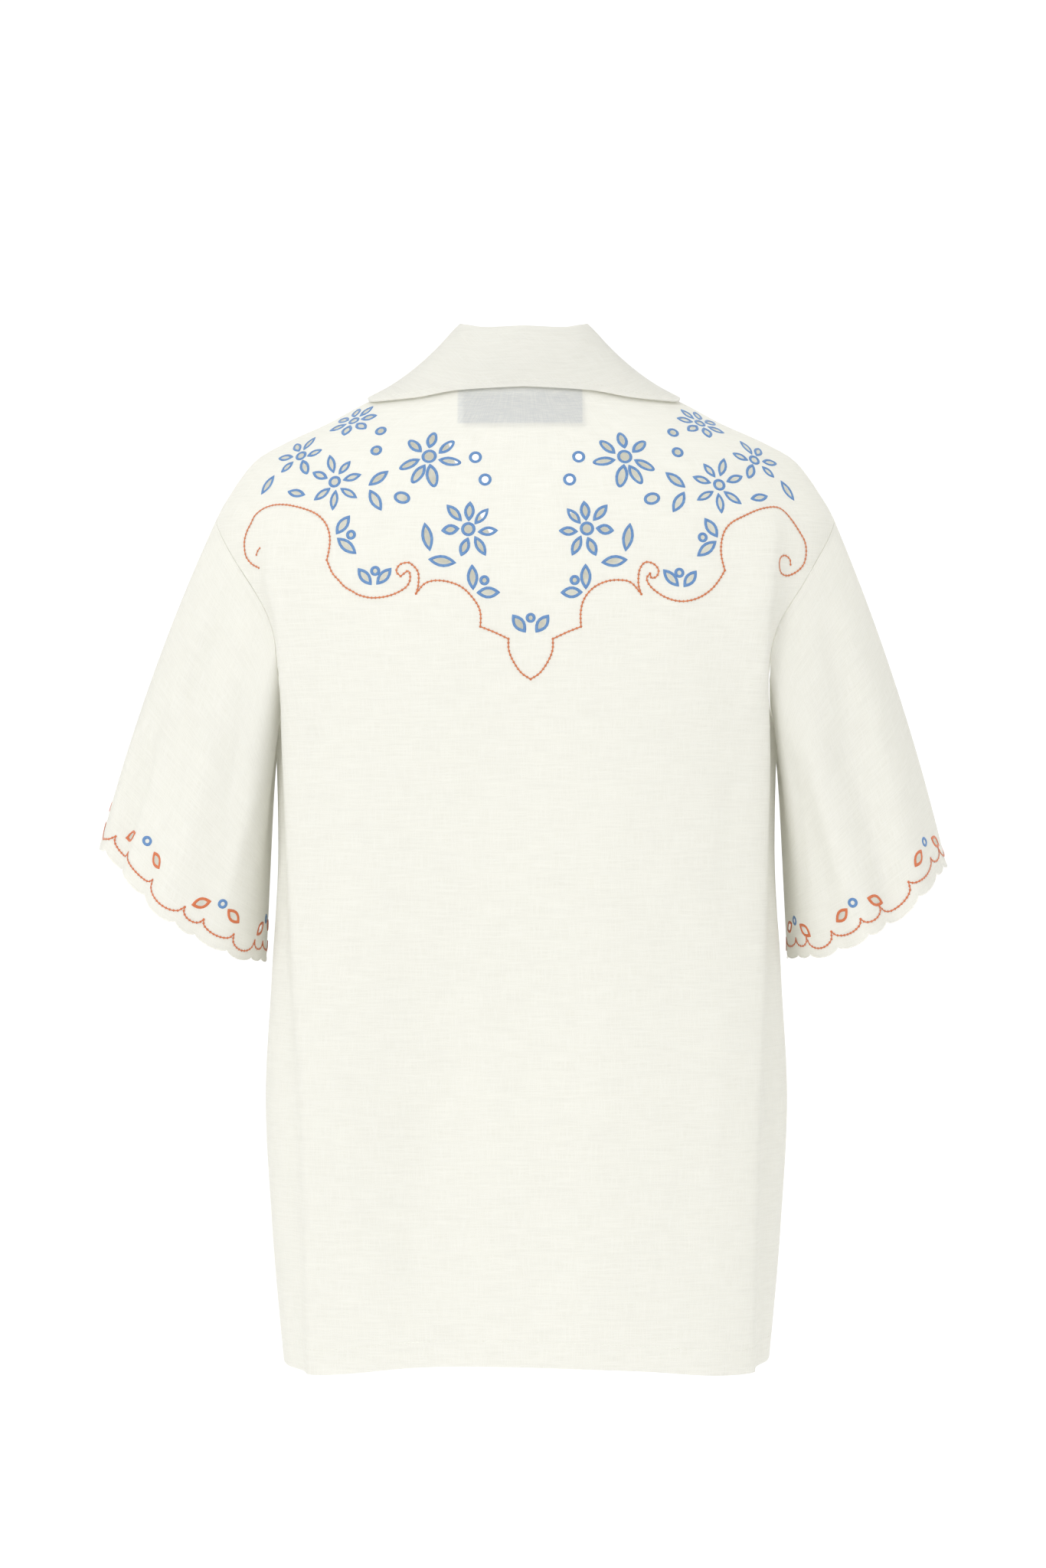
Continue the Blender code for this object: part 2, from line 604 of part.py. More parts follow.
def layered(name, places, faces, outer, inner, colour, facing):
    """One closed wall from the outer and inner points of every place."""
    count = len(places)
    a, b, c = (outer[[f[i] for f in faces]] for i in range(3))
    normal = np.cross(b - a, c - a)
    middle = (a + b + c) / 3
    if (normal * facing(middle)).sum() < 0:
        faces = [f[::-1] for f in faces]
    uses = {}
    for f in faces:
        for i in range(3):
            uses[(f[i], f[(i + 1) % 3])] = True
    solid = list(faces)
    solid += [tuple(v + count for v in f[::-1]) for f in faces]
    for u, v in uses:
        if (v, u) not in uses:
            solid.append((v, u, u + count, v + count))
    return add_object(name, np.vstack([outer, inner]), solid, colour)


def add_object(name, points, faces, colour):
    mesh = bpy.data.meshes.new(name)
    mesh.from_pydata([tuple(map(float, p)) for p in points], [], [list(f) for f in faces])
    mesh.update()
    mesh.materials.append(colour)
    mesh.shade_smooth()
    mesh.set_sharp_from_angle(angle=math.radians(35))
    thing = bpy.data.objects.new(name, mesh)
    bpy.context.scene.collection.objects.link(thing)
    return thing


def finish(name, colour, roughness):
    material = bpy.data.materials.new(name)
    material.use_nodes = True
    shader = material.node_tree.nodes["Principled BSDF"]
    shader.inputs["Base Color"].default_value = (*colour, 1)
    shader.inputs["Roughness"].default_value = roughness
    shader.inputs["Metallic"].default_value = 0
    return material


def away_from_body(points):
    return points * np.array([1.0, 1.0, 0.3])


def to_domain(places):
    return [(turn * DOMAIN_WIDTH, height) for turn, height in places]


def body_panel(name, outline, holes, fill, surface, top, bottom, colour):
    """A wall on the body between two levels off its outer face."""
    places, faces = cut_mesh(to_domain(outline), [to_domain(h) for h in holes], to_domain(fill))
    turn = places[:, 0] / DOMAIN_WIDTH
    height = places[:, 1]
    point = surface(turn, height)
    normal = -normals_of(surface, turn, height)
    outer = point + normal * top
    inner = point + normal * bottom
    return layered(name, places, faces, outer, inner, colour, away_from_body)


def spaced(start, end, count):
    return [float(v) for v in np.linspace(start, end, count)]


def armhole_place(angle):
    """Turn and height on the armhole: 0 is its top, 90 the back, 180 the underarm."""
    rad = math.radians(angle)
    height = (ARMHOLE_TOP + ARMHOLE_BOTTOM) / 2
    height += (ARMHOLE_TOP - ARMHOLE_BOTTOM) / 2 * math.cos(rad)
    reach = ARMHOLE_REACH * math.sin(rad) * (1 - ARMHOLE_EGG * math.cos(rad))
    return turn_at(height, reach < 0, y=reach), height


def neck_height(turn):
    """The neck edge of the back rises from its middle to the sides."""
    rise = NECK_SIDE_HEIGHT - NECK_HEIGHT
    return NECK_HEIGHT + rise * float(smoothstep(0.2, 0.8, abs(turn)))


def shoulder_seam_turn(height):
    return 1 + SHOULDER_SEAM_FORWARD / float(quarter_length(height, True)[0])


def seam_meets_armhole():
    for angle in np.arange(0, 60, 0.5):
        turn, height = armhole_place(-angle)
        if turn >= shoulder_seam_turn(height):
            return -float(angle)
    return -30.0


SEAM_ANGLE = seam_meets_armhole()


def hem_height(turn):
    place = abs((turn + 2) % 4 - 2)
    drop = 0.006 * math.exp(-((place - 0.62) / 0.22) ** 2)
    wave = 0.0015 * math.sin(5.0 * turn + 0.6)
    return HEM_HEIGHT - drop + wave


def gap_turn(height, front=False, gap=SEAM_GAP):
    return gap / 2 / float(quarter_length(height, front)[0])


def armhole_run(first, last, count):
    return [armhole_place(float(a)) for a in np.linspace(first, last, count)]


def shoulder_run(front):
    """The shoulder seam from the neck to the armhole, on the back's or front's side."""
    end = armhole_place(SEAM_ANGLE)[1]
    shift = 1 if front else -1
    return [(shoulder_seam_turn(h) + shift * gap_turn(h, True), h)
            for h in spaced(NECK_SIDE_HEIGHT, end + 0.0006, 11)]


def back_outline():
    """Round the back panel, from the centre of the neck by the side +X."""
    half = []
    neck_turn = shoulder_seam_turn(NECK_SIDE_HEIGHT) - gap_turn(NECK_SIDE_HEIGHT, True)
    half += [(t, neck_height(t)) for t in spaced(0, neck_turn, 11)]
    half += shoulder_run(front=False)[1:]
    half += armhole_run(SEAM_ANGLE + 1.5, 176, 26)
    half += [(1 - gap_turn(h), h) for h in spaced(ARMHOLE_BOTTOM, HEM_HEIGHT, 14)[1:-1]]
    hem_turns = spaced(1 - gap_turn(HEM_HEIGHT), 0, 22)
    half += [(t, hem_height(t)) for t in hem_turns]
    other = [(-t, h) for t, h in half[1:-1]]
    for i, (t, h) in enumerate(other):
        if h < HEM_HEIGHT + 0.003:
            other[i] = (t, hem_height(t))
    return half + other[::-1]


def back_fill():
    fill = []
    for row, height in enumerate(np.arange(-0.008, -0.205, -0.018)):
        shift = 0.5 * (row % 2)
        fill += [((i + shift) * 0.080, float(height)) for i in range(-16, 17)]
    for row, height in enumerate(np.arange(-0.216, -0.728, -0.034)):
        shift = 0.5 * (row % 2)
        fill += [((i + shift) * 0.105, float(height)) for i in range(-9, 9)]
    for side in (1, -1):
        for height in np.arange(-0.105, -0.730, -0.030):
            ridge = float(ridge_turn_at[side](height))
            size = float(quarter_length(height, False)[0])
            for past in (-0.015, 0.0, 0.009, 0.019):
                fill.append((side * (ridge + past / size), float(height)))
    return thinned(fill, 0.0085)


def thinned(places, apart):
    """Drops places that crowd a later one, so that ridge lines win over the grid."""
    kept = []
    for place in reversed(places):
        flat = (place[0] * DOMAIN_WIDTH, place[1])
        if all(math.hypot(flat[0] - p[0], flat[1] - p[1]) > apart for p, _ in kept):
            kept.append((flat, place))
    return [place for _, place in kept]


def opening_turn(height, x=None):
    """The turn of the front's opening edge at a height, for the side +X."""
    at = float(roll_x_at(height)) if x is None else x
    return turn_at(height, True, x=at)


def front_outline():
    """Round the front on the side +X, from the neck by the opening edge."""
    roll_foot = ROLL_ROWS[-1][0]
    run = [(opening_turn(h), h) for h in spaced(NECK_SIDE_HEIGHT, roll_foot, 15)]
    top_turn = shoulder_seam_turn(NECK_SIDE_HEIGHT) + gap_turn(NECK_SIDE_HEIGHT, True)
    run[0] = (top_turn + 0.004, NECK_SIDE_HEIGHT)
    edge_heights = spaced(roll_foot - 0.012, HEM_HEIGHT, 12)[:-1]
    run += [(opening_turn(h, -PLACKET_LAP), h) for h in edge_heights]
    first = opening_turn(HEM_HEIGHT, -PLACKET_LAP)
    run += [(t, hem_height(t)) for t in spaced(first, 1 + gap_turn(HEM_HEIGHT, True), 16)]
    run += [(1 + gap_turn(h, True), h) for h in spaced(HEM_HEIGHT, ARMHOLE_BOTTOM, 14)[1:-1]]
    run += armhole_run(184, 360 + SEAM_ANGLE - 1.5, 22)
    run += shoulder_run(front=True)[1:][::-1]
    return run


def front_fill():
    fill = []
    for row, height in enumerate(np.arange(-0.020, -0.728, -0.034)):
        shift = 0.5 * (row % 2)
        fill += [(1 + (i + shift) * 0.105, float(height)) for i in range(0, 8)]
    for height in np.arange(-0.160, -0.728, -0.028):
        columns = (0.0,) + LAP_RAMP
        fill += [(opening_turn(float(height), x), float(height)) for x in columns]
    return thinned(fill, 0.0075)


def mirrored(places):
    return [(-t, h) for t, h in places]


def lapel_outline():
    run = [(opening_turn(h) - 0.004, h) for h in spaced(LAPEL_FOOT, LAPEL_TOP, 8)]
    run += [(turn_at(h, True, x=x), h) for x, h in LAPEL_ROWS]
    return run


def label_outline():
    half = LABEL_WIDTH / 2
    run = []
    for x in spaced(-half, half, 9):
        run.append((turn_at(LABEL_TOP, False, x=x), LABEL_TOP))
    for x in spaced(half, -half, 9):
        run.append((turn_at(LABEL_BOTTOM, False, x=x), LABEL_BOTTOM))
    return run


# Sleeves
def scallop_depth(along):
    """How far the cuff's edge hangs past its line, at a distance round one repeat."""
    start = SCALLOP_ROWS[0][0]
    place = (along - start) % CUFF_REPEAT + start
    for row in SCALLOP_ROWS:
        part = dict(zip(SCALLOP_COLUMNS, row))
        if part["start"] <= place <= part["end"]:
            u = (place - part["start"]) / (part["end"] - part["start"])
            return part["depth"] * math.sqrt(max(0.0, 4 * u * (1 - u)))
    return 0.0


class Sleeve:
    """One sleeve's surface: angle 0 is its top line, 90 its back, 180 the underarm."""

    def __init__(self, side):
        self.side = side
        cuff = dict(zip(CUFF_COLUMNS, CUFFS[side]))
        top = np.array([side * cuff["top_x"], 0.0, cuff["top_z"]])
        foot = np.array([side * cuff["foot_x"], 0.0, cuff["foot_z"]])
        self.cuff_middle = (top + foot) / 2
        self.cuff_across = (top - foot) / 2
        self.cuff_deep = cuff["deep"]
        self.cuff_sag = cuff["sag"]
        self.phase = cuff["phase"]
        self.shift = cuff["shift"]
        self.lift = cuff["lift"]
        angles = np.linspace(-10, 370, 191)
        places = [armhole_place(float(a)) for a in angles]
        turns = np.array([side * t for t, _ in places])
        heights = np.array([h for _, h in places])
        start = body_point(turns, heights)
        out = body_normal(turns, heights)
        ahead = body_point(*self.beside(angles, 0.5))
        behind = body_point(*self.beside(angles, -0.5))
        along = ahead - behind
        along /= np.linalg.norm(along, axis=1)[:, None]
        into = np.cross(along, out)
        middle = start.mean(axis=0)
        into *= np.sign(((middle - start) * into).sum(axis=1))[:, None]
        swing = np.radians(180 * smoothstep(75, 150, 180 - np.abs(180 - angles % 360)))
        self.angles = angles
        self.start = start
        self.start_lift = (into * np.cos(swing / 2)[:, None] + out * np.sin(swing / 2)[:, None])
        self.start_wall = (-out * np.cos(swing)[:, None] + into * np.sin(swing)[:, None])

    def beside(self, angles, step):
        places = [armhole_place(float(a + step)) for a in angles]
        return np.array([self.side * t for t, _ in places]), np.array([h for _, h in places])

    def at(self, table, angle):
        return np.stack([np.interp(angle, self.angles, table[:, i]) for i in range(3)], axis=1)

    def radial(self, angle):
        rad = np.radians(angle)
        across = unit(self.cuff_across)
        return np.cos(rad)[:, None] * across + np.sin(rad)[:, None] * np.array([0.0, 1.0, 0.0])

    def pattern_angle(self, repeat, along):
        """The angle of a place along one repeat of the cuff's scallops."""
        return self.phase + (repeat + along / CUFF_REPEAT) * 360 / CUFF_REPEATS

    def folds(self, angle, down):
        rise = np.zeros(len(angle))
        for row in SLEEVE_FOLD_ROWS:
            fold = dict(zip(SLEEVE_FOLD_COLUMNS, row))
            if fold["side"] != self.side:
                continue
            share = (down - fold["start"]) / (fold["end"] - fold["start"])
            centre = fold["angle"] + fold["drift"] * share
            off = (angle - centre + 180) % 360 - 180
            across = np.radians(off) * SLEEVE_ROUND / fold["width"]
            fade = smoothstep(0, 0.35, share)
            rise += fold["rise"] * fade * np.exp(-across ** 2)
        return rise

    def point(self, angle, down):
        angle = np.atleast_1d(np.asarray(angle, dtype=float))
        down = np.atleast_1d(np.asarray(down, dtype=float))
        rad = np.radians(angle)
        start = self.at(self.start, angle)
        cuff = self.cuff_middle + np.cos(rad)[:, None] * self.cuff_across
        cuff = cuff + np.sin(rad)[:, None] * np.array([0.0, self.cuff_deep, 0.0])
        cuff = cuff - (np.sin(rad) ** 2)[:, None] * np.array([0.0, 0.0, self.cuff_sag])
        radial = self.radial(angle)
        outside = 0.5 + 0.5 * np.cos(rad)
        swell = SLEEVE_BULGE * outside * 4 * np.clip(down * (1 - down), 0, None)
        lift = self.at(self.start_lift, angle) * SLEEVE_START_LIFT
        fade = np.clip(1 - down, 0, 1) ** 1.5
        off = (swell + self.folds(angle, down))[:, None]
        return start * (1 - down[:, None]) + cuff * down[:, None] + radial * off + lift * fade[:, None]

    def normal(self, angle, down):
        along = self.point(angle + 0.2, down) - self.point(angle - 0.2, down)
        run = self.point(angle, down + 1e-3) - self.point(angle, down - 1e-3)
        normal = np.cross(along, run)
        normal /= np.linalg.norm(normal, axis=1)[:, None]
        sign = np.sign((normal * self.radial(angle)).sum(axis=1))
        return normal * sign[:, None]

    def wall_point(self, angle, down):
        """The inner face: at the seam it is mitred to the armhole's edge."""
        outer = self.point(angle, down)
        inward = -self.normal(angle, down)
        mitre = self.at(self.start_wall, angle)
        mix = smoothstep(0.0, 0.05, down)[:, None]
        inward = mitre * (1 - mix) + inward * mix
        inward /= np.linalg.norm(inward, axis=1)[:, None]
        return outer + inward * WALL


def sleeve_domain(places):
    return [(math.radians(a) * SLEEVE_ROUND, d * SLEEVE_LENGTH) for a, d in places]


def cuff_down(sleeve, angle):
    """Where the scalloped edge lies at an angle round the cuff."""
    along = (angle - sleeve.phase) / 360 * CUFF_REPEATS * CUFF_REPEAT
    return 1 + scallop_depth(along) / SLEEVE_LENGTH


def sleeve_holes(sleeve, low, high):
    """The open eyes of the cuff's leaves that lie in one half of the sleeve."""
    holes = []
    for repeat in range(-1, CUFF_REPEATS + 1):
        for row in CUFF_LEAF_ROWS:
            leaf = dict(zip(CUFF_LEAF_COLUMNS, row))
            start = (sleeve.pattern_angle(repeat, leaf["along"] + sleeve.shift), 1.0)
            outline = turned(eye_outline(leaf["length"], leaf["width"], 0.0, inset=SATIN_WIDTH),
                             leaf["angle"], at=(0.0, leaf["up"] + sleeve.lift))
            hole = walk(sleeve.point, start, [(across, -up) for across, up in outline])
            if min(a for a, _ in hole) > low + 2 and max(a for a, _ in hole) < high - 2:
                holes.append(hole)
    return holes


def sleeve_half(name, sleeve, low, high, colour):
    gap = math.degrees(SEAM_GAP / SLEEVE_ROUND) / 2
    low_edge, high_edge = low + gap, high - gap
    outline = [(a, 0.0) for a in spaced(low_edge, high_edge, 20)]
    outline += [(high_edge, d) for d in spaced(0, cuff_down(sleeve, high_edge), 8)[1:-1]]
    outline += [(a, cuff_down(sleeve, a)) for a in spaced(high_edge, low_edge, 46)]
    outline += [(low_edge, d) for d in spaced(cuff_down(sleeve, low_edge), 0, 8)[1:-1]]
    fill = []
    for row, down in enumerate(np.arange(0.07, 0.99, 0.105)):
        shift = 0.5 * (row % 2)
        fill += [(low + (i + shift) * 13.0, float(down)) for i in range(14)]
    holes = [sleeve_domain(h) for h in sleeve_holes(sleeve, low, high)]
    places, faces = cut_mesh(sleeve_domain(outline), holes, sleeve_domain(fill), 0.0045)
    angle = np.degrees(places[:, 0] / SLEEVE_ROUND)
    down = places[:, 1] / SLEEVE_LENGTH
    outer = sleeve.point(angle, down)
    inner = sleeve.wall_point(angle, down)

    def facing(points):
        middle = np.array([sleeve.side * 0.222, 0.0, -0.28])
        return points - middle

    return layered(name, places, faces, outer, inner, colour, facing)


# Collar
def collar_line(name):
    return table_line(COLLAR_ROWS, COLLAR_COLUMNS, "t", name)


def collar_grid():
    """Sections of the collar from the seam up the stand, over the roll and down the fall."""
    seam_turn = collar_line("seam")
    edge_turn = collar_line("edge")
    edge_height = collar_line("edge_height")
    rise = collar_line("rise")
    lean = collar_line("lean")
    bow = collar_line("bow")
    start_forward = shoulder_seam_turn(NECK_SIDE_HEIGHT)
    sections = []
    for t in np.linspace(-1, 1, 33):
        side = 1.0 if t >= 0 else -1.0
        at = abs(float(t))
        turn = float(seam_turn(at))
        height = neck_height(turn)
        if turn > start_forward:
            ahead = (at - 0.66) / (1 - 0.66)
            height += (COLLAR_END_HEIGHT - height) * max(0.0, ahead) ** 1.2
            turn = max(start_forward, opening_turn(height))
        base = body_point([side * turn], height)[0]
        normal = body_normal([side * turn], height)[0]
        inward = np.array([float(sway_at(height)) - base[0], -base[1] * 1.2, 0.0])
        inward /= np.linalg.norm(inward)
        up = np.array([0.0, 0.0, 1.0])
        flat = float(smoothstep(0.7, 1.0, at))
        up = up * (1 - flat) + normal * flat
        up /= np.linalg.norm(up)
        seam = base + normal * LAID_GAP + up * 0.0006
        roll = seam + up * float(rise(at)) + inward * float(lean(at))
        place = float(edge_turn(at))
        edge_base = body_point([side * place], float(edge_height(at)))[0]
        edge_normal = body_normal([side * place], float(edge_height(at)))[0]
        edge = edge_base + edge_normal * COLLAR_EDGE_LIFT
        out = -inward * (1 - flat) + unit(edge - seam) * flat
        radius = COLLAR_ROLL_RADIUS - 0.0006 * flat
        section = [seam * (1 - u) + roll * u for u in (0.0, 0.35, 0.7)]
        for angle in (180, 140, 90, 40):
            c, s = math.cos(math.radians(angle)), math.sin(math.radians(angle))
            section.append(roll + out * radius * (1 + c) + up * radius * s)
        top = section[-1]
        for u in (0.25, 0.5, 0.75, 1.0):
            point = top * (1 - u) + edge * u
            point = point + (out * 0.6 + up * 0.8) * float(bow(at)) * 4 * u * (1 - u)
            section.append(point)
        sections.append(section)
    return np.array(sections)


def unit(vector):
    return vector / np.linalg.norm(vector)


def make_collar(colour):
    grid = collar_grid()
    rows, cols, _ = grid.shape
    along = np.gradient(grid, axis=0)
    down = np.gradient(grid, axis=1)
    normal = np.cross(along, down)
    normal /= np.linalg.norm(normal, axis=2)[:, :, None]
    if normal[rows // 2, cols - 1, 1] < 0:
        normal = -normal
    inner = grid - normal * WALL
    outer = grid.reshape(-1, 3)
    faces = []
    for i in range(rows - 1):
        for j in range(cols - 1):
            a, b = i * cols + j, i * cols + j + 1
            c, d = (i + 1) * cols + j + 1, (i + 1) * cols + j
            faces += [(a, b, c), (a, c, d)]

    def facing(points):
        flip = normal[:-1, :-1].reshape(-1, 3)
        return np.repeat(flip, 2, axis=0)

    places = np.zeros((len(outer), 2))
    return layered("collar", places, faces, outer, inner.reshape(-1, 3), colour, facing)


def make_button(index, height, colour):
    turn = 2.0
    base = body_point([turn], height)[0]
    normal = unit(body_normal([turn], height)[0])
    across = unit(np.cross(np.array([0.0, 0.0, 1.0]), normal))
    up = np.cross(normal, across)
    profile = (
        (0.0, BUTTON_THICKNESS * 0.72),
        (BUTTON_RADIUS * 0.62, BUTTON_THICKNESS * 0.72),
        (BUTTON_RADIUS * 0.78, BUTTON_THICKNESS),
        (BUTTON_RADIUS * 0.94, BUTTON_THICKNESS * 0.86),
        (BUTTON_RADIUS, BUTTON_THICKNESS * 0.45),
        (BUTTON_RADIUS * 0.9, 0.0),
        (0.0, 0.0),
    )
    sides = 12
    lifted = base + normal * (SEAM_GAP + 0.0002)
    points = [lifted + normal * profile[0][1]]
    for radius, rise in profile[1:-1]:
        for i in range(sides):
            angle = 2 * math.pi * i / sides
            spoke = across * math.cos(angle) + up * math.sin(angle)
            points.append(lifted + spoke * radius + normal * rise)
    points.append(lifted)
    faces = []
    for i in range(sides):
        j = (i + 1) % sides
        faces.append((0, 1 + i, 1 + j))
        for ring in range(len(profile) - 3):
            a, b = 1 + ring * sides + i, 1 + ring * sides + j
            faces.append((a, a + sides, b + sides, b))
        last = 1 + (len(profile) - 3) * sides
        faces.append((last + i, len(points) - 1, last + j))
    return add_object(f"button_{index + 1}", points, faces, colour)


def make_shirt():
    clear_scene()
    cloth = finish("cream_cloth", (0.915, 0.905, 0.835), 0.85)
    shell = finish("shell_button", (0.86, 0.84, 0.78), 0.3)
    tape = finish("label_tape", (0.70, 0.71, 0.70), 0.7)

    holes = yoke_holes(1) + yoke_holes(-1)
    body_panel("back", back_outline(), holes, back_fill(), body_point, 0.0, -WALL, cloth)
    body_panel("front_left", front_outline(), [], front_fill(), body_point, 0.0, -WALL, cloth)
    body_panel("front_right", mirrored(front_outline()), [], mirrored(front_fill()),
               right_front_point, 0.0, -WALL, cloth)
    lapel_fill = [(turn_at(h, True, x=x), h) for x, h in LAPEL_FILL]
    body_panel("lapel_left", lapel_outline(), [], lapel_fill, body_point,
               WALL + LAID_GAP, LAID_GAP, cloth)
    body_panel("lapel_right", mirrored(lapel_outline()), [], mirrored(lapel_fill), body_point,
               WALL + LAID_GAP, LAID_GAP, cloth)
    label_top = -WALL - LAID_GAP
    body_panel("neck_label", label_outline(), [], [], body_point,
               label_top, label_top - LABEL_THICKNESS, tape)
    make_collar(cloth)
    for side, word in ((1, "left"), (-1, "right")):
        sleeve = Sleeve(side)
        sleeve_half(f"sleeve_{word}_back", sleeve, 0.0, 180.0, cloth)
        sleeve_half(f"sleeve_{word}_front", sleeve, 180.0, 360.0, cloth)
    for index, height in enumerate(BUTTON_HEIGHTS):
        make_button(index, height, shell)


make_shirt()
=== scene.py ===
"""Camp shirt with a cutwork yoke: the cloth, the embroidery and the studio round it.

Metres, +Z up, back towards +Y, the wearer's left towards +X. A place on the body of the
shirt is a turn (0 centre back, 1 and -1 the sides, 2 centre front) and a height.
"""
import math

import bpy
import numpy as np
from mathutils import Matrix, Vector
from mathutils.geometry import delaunay_2d_cdt


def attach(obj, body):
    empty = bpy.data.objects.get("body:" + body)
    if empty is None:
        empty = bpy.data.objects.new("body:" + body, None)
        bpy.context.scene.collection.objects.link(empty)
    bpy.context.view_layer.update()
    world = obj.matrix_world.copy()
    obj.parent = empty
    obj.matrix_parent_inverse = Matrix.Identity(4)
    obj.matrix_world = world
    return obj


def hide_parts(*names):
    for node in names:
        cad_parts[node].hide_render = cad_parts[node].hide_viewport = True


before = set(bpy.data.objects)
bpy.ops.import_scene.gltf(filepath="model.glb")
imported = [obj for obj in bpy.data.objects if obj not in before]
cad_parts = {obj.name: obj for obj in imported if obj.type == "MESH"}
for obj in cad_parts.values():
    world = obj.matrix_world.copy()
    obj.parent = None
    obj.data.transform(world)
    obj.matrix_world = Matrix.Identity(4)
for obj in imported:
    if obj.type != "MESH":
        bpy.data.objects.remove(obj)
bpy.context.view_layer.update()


# Driving sizes
WALL = 0.0016
SEAM_GAP = 0.0004
LAID_GAP = 0.0006
LAP_GAP = 0.0011
LAP_RAMP = (0.0180, 0.0260)
COLLAR_EDGE_LIFT = 0.0034
NECK_HEIGHT = 0.003
NECK_SIDE_HEIGHT = 0.018
HEM_HEIGHT = -0.737
HEM_DROP = 0.006
HEM_DROP_AT = 0.62
HEM_DROP_WIDTH = 0.22
HEM_WAVE = 0.0015
ARMHOLE_TOP = -0.094
ARMHOLE_BOTTOM = -0.268
ARMHOLE_REACH = 0.070
ARMHOLE_EGG = 0.25
SHOULDER_SEAM_FORWARD = 0.026
PLACKET_LAP = 0.015
BUTTON_HEIGHTS = (-0.175, -0.290, -0.405, -0.520, -0.635)
BUTTON_RADIUS = 0.0057
BUTTON_THICKNESS = 0.0022
LABEL_WIDTH = 0.093
LABEL_TOP = -0.006
LABEL_BOTTOM = -0.0315
# The painted shade of the neck tape on the back: its sideways shift, and how far it shows above the
# tape's top
LABEL_SHIFT = 0.0028
LABEL_SHOWN_ABOVE = 0.0065
SATIN_WIDTH = 0.0021
DOMAIN_WIDTH = 0.27
# The step over which slopes of a surface are taken
SMALL_STEP = 2e-4

# The places of the embroidery are given as they look from straight behind, this far off.
VIEW_DISTANCE = 3.5
VIEW_HEIGHT = -0.30
VIEW_PLANE = 0.11
# The yoke hangs a little towards the left at its top, and lower on the right shoulder.
YOKE_CENTRE = -0.0051
YOKE_SWAY = 0.0022
YOKE_TILT = 0.0016
YOKE_TILT_AT = 0.140
# Its right half is worked nearer the middle: all of it, more at its foot, and a little higher
RIGHT_INWARD = 0.0011
RIGHT_FOOT_INWARD = 0.0026
RIGHT_LIFT = 0.0010
# Where those set in: heights of the sway, then x from the middle and depth below the origin
SWAY_HEIGHTS = (-0.18, -0.08)
RIGHT_FROM = (0.020, 0.045)
RIGHT_UNTIL = (0.145, 0.165)
RIGHT_FOOT_FROM = (0.050, 0.110)
RIGHT_FOOT_BELOW = (0.100, 0.130)

# The body's rings; sway moves a ring towards the left, as the shirt hangs
BODY_COLUMNS = ("height", "half_width", "back", "front", "power", "sway")
BODY_ROWS = (
    (0.020, 0.0690, 0.0450, 0.049, 2.0, 0.0000),
    (0.012, 0.0800, 0.0480, 0.052, 2.0, 0.0000),
    (0.003, 0.0960, 0.0535, 0.058, 2.0, 0.0000),
    (-0.009, 0.1235, 0.0610, 0.067, 2.0, -0.0002),
    (-0.024, 0.1510, 0.0695, 0.077, 2.0, -0.0005),
    (-0.038, 0.1820, 0.0765, 0.085, 2.05, -0.0008),
    (-0.052, 0.2065, 0.0830, 0.092, 2.1, -0.0010),
    (-0.066, 0.2183, 0.0885, 0.0975, 2.2, -0.0010),
    (-0.078, 0.2262, 0.0925, 0.102, 2.25, -0.0010),
    (-0.092, 0.2345, 0.0965, 0.1065, 2.35, -0.0011),
    (-0.103, 0.2385, 0.0990, 0.109, 2.45, -0.0012),
    (-0.145, 0.2310, 0.1055, 0.117, 2.65, -0.0015),
    (-0.200, 0.2080, 0.1100, 0.123, 3.0, -0.0018),
    (-0.268, 0.1920, 0.1120, 0.124, 3.2, -0.0020),
    (-0.350, 0.1900, 0.1120, 0.122, 3.4, -0.0020),
    (-0.450, 0.1950, 0.1120, 0.119, 3.5, -0.0020),
    (-0.540, 0.1995, 0.1125, 0.117, 3.5, -0.0020),
    (-0.640, 0.1945, 0.1130, 0.116, 3.4, -0.0020),
    (-0.760, 0.1840, 0.1130, 0.115, 3.3, -0.0020),
)

# Vertical ridges that stand at both edges of the back, where it turns to the sides
RIDGE_COLUMNS = ("height", "left_x", "right_x", "rise")
RIDGE_ROWS = (
    (-0.070, 0.183, 0.187, 0.0000),
    (-0.110, 0.188, 0.187, 0.0032),
    (-0.145, 0.189, 0.184, 0.0070),
    (-0.175, 0.182, 0.179, 0.0085),
    (-0.210, 0.178, 0.177, 0.0080),
    (-0.268, 0.176, 0.179, 0.0075),
    (-0.350, 0.173, 0.178, 0.0070),
    (-0.450, 0.168, 0.176, 0.0065),
    (-0.540, 0.162, 0.173, 0.0060),
    (-0.640, 0.159, 0.170, 0.0060),
    (-0.760, 0.157, 0.168, 0.0060),
)
RIDGE_INSIDE_WIDTH = 0.022
RIDGE_OUTSIDE_WIDTH = 0.008
RIDGE_TROUGH_AT = 0.020
RIDGE_TROUGH_WIDTH = 0.012
RIDGE_TROUGH_SHARE = 0.45
RIDGE_SPAN = (-0.06, -0.77)
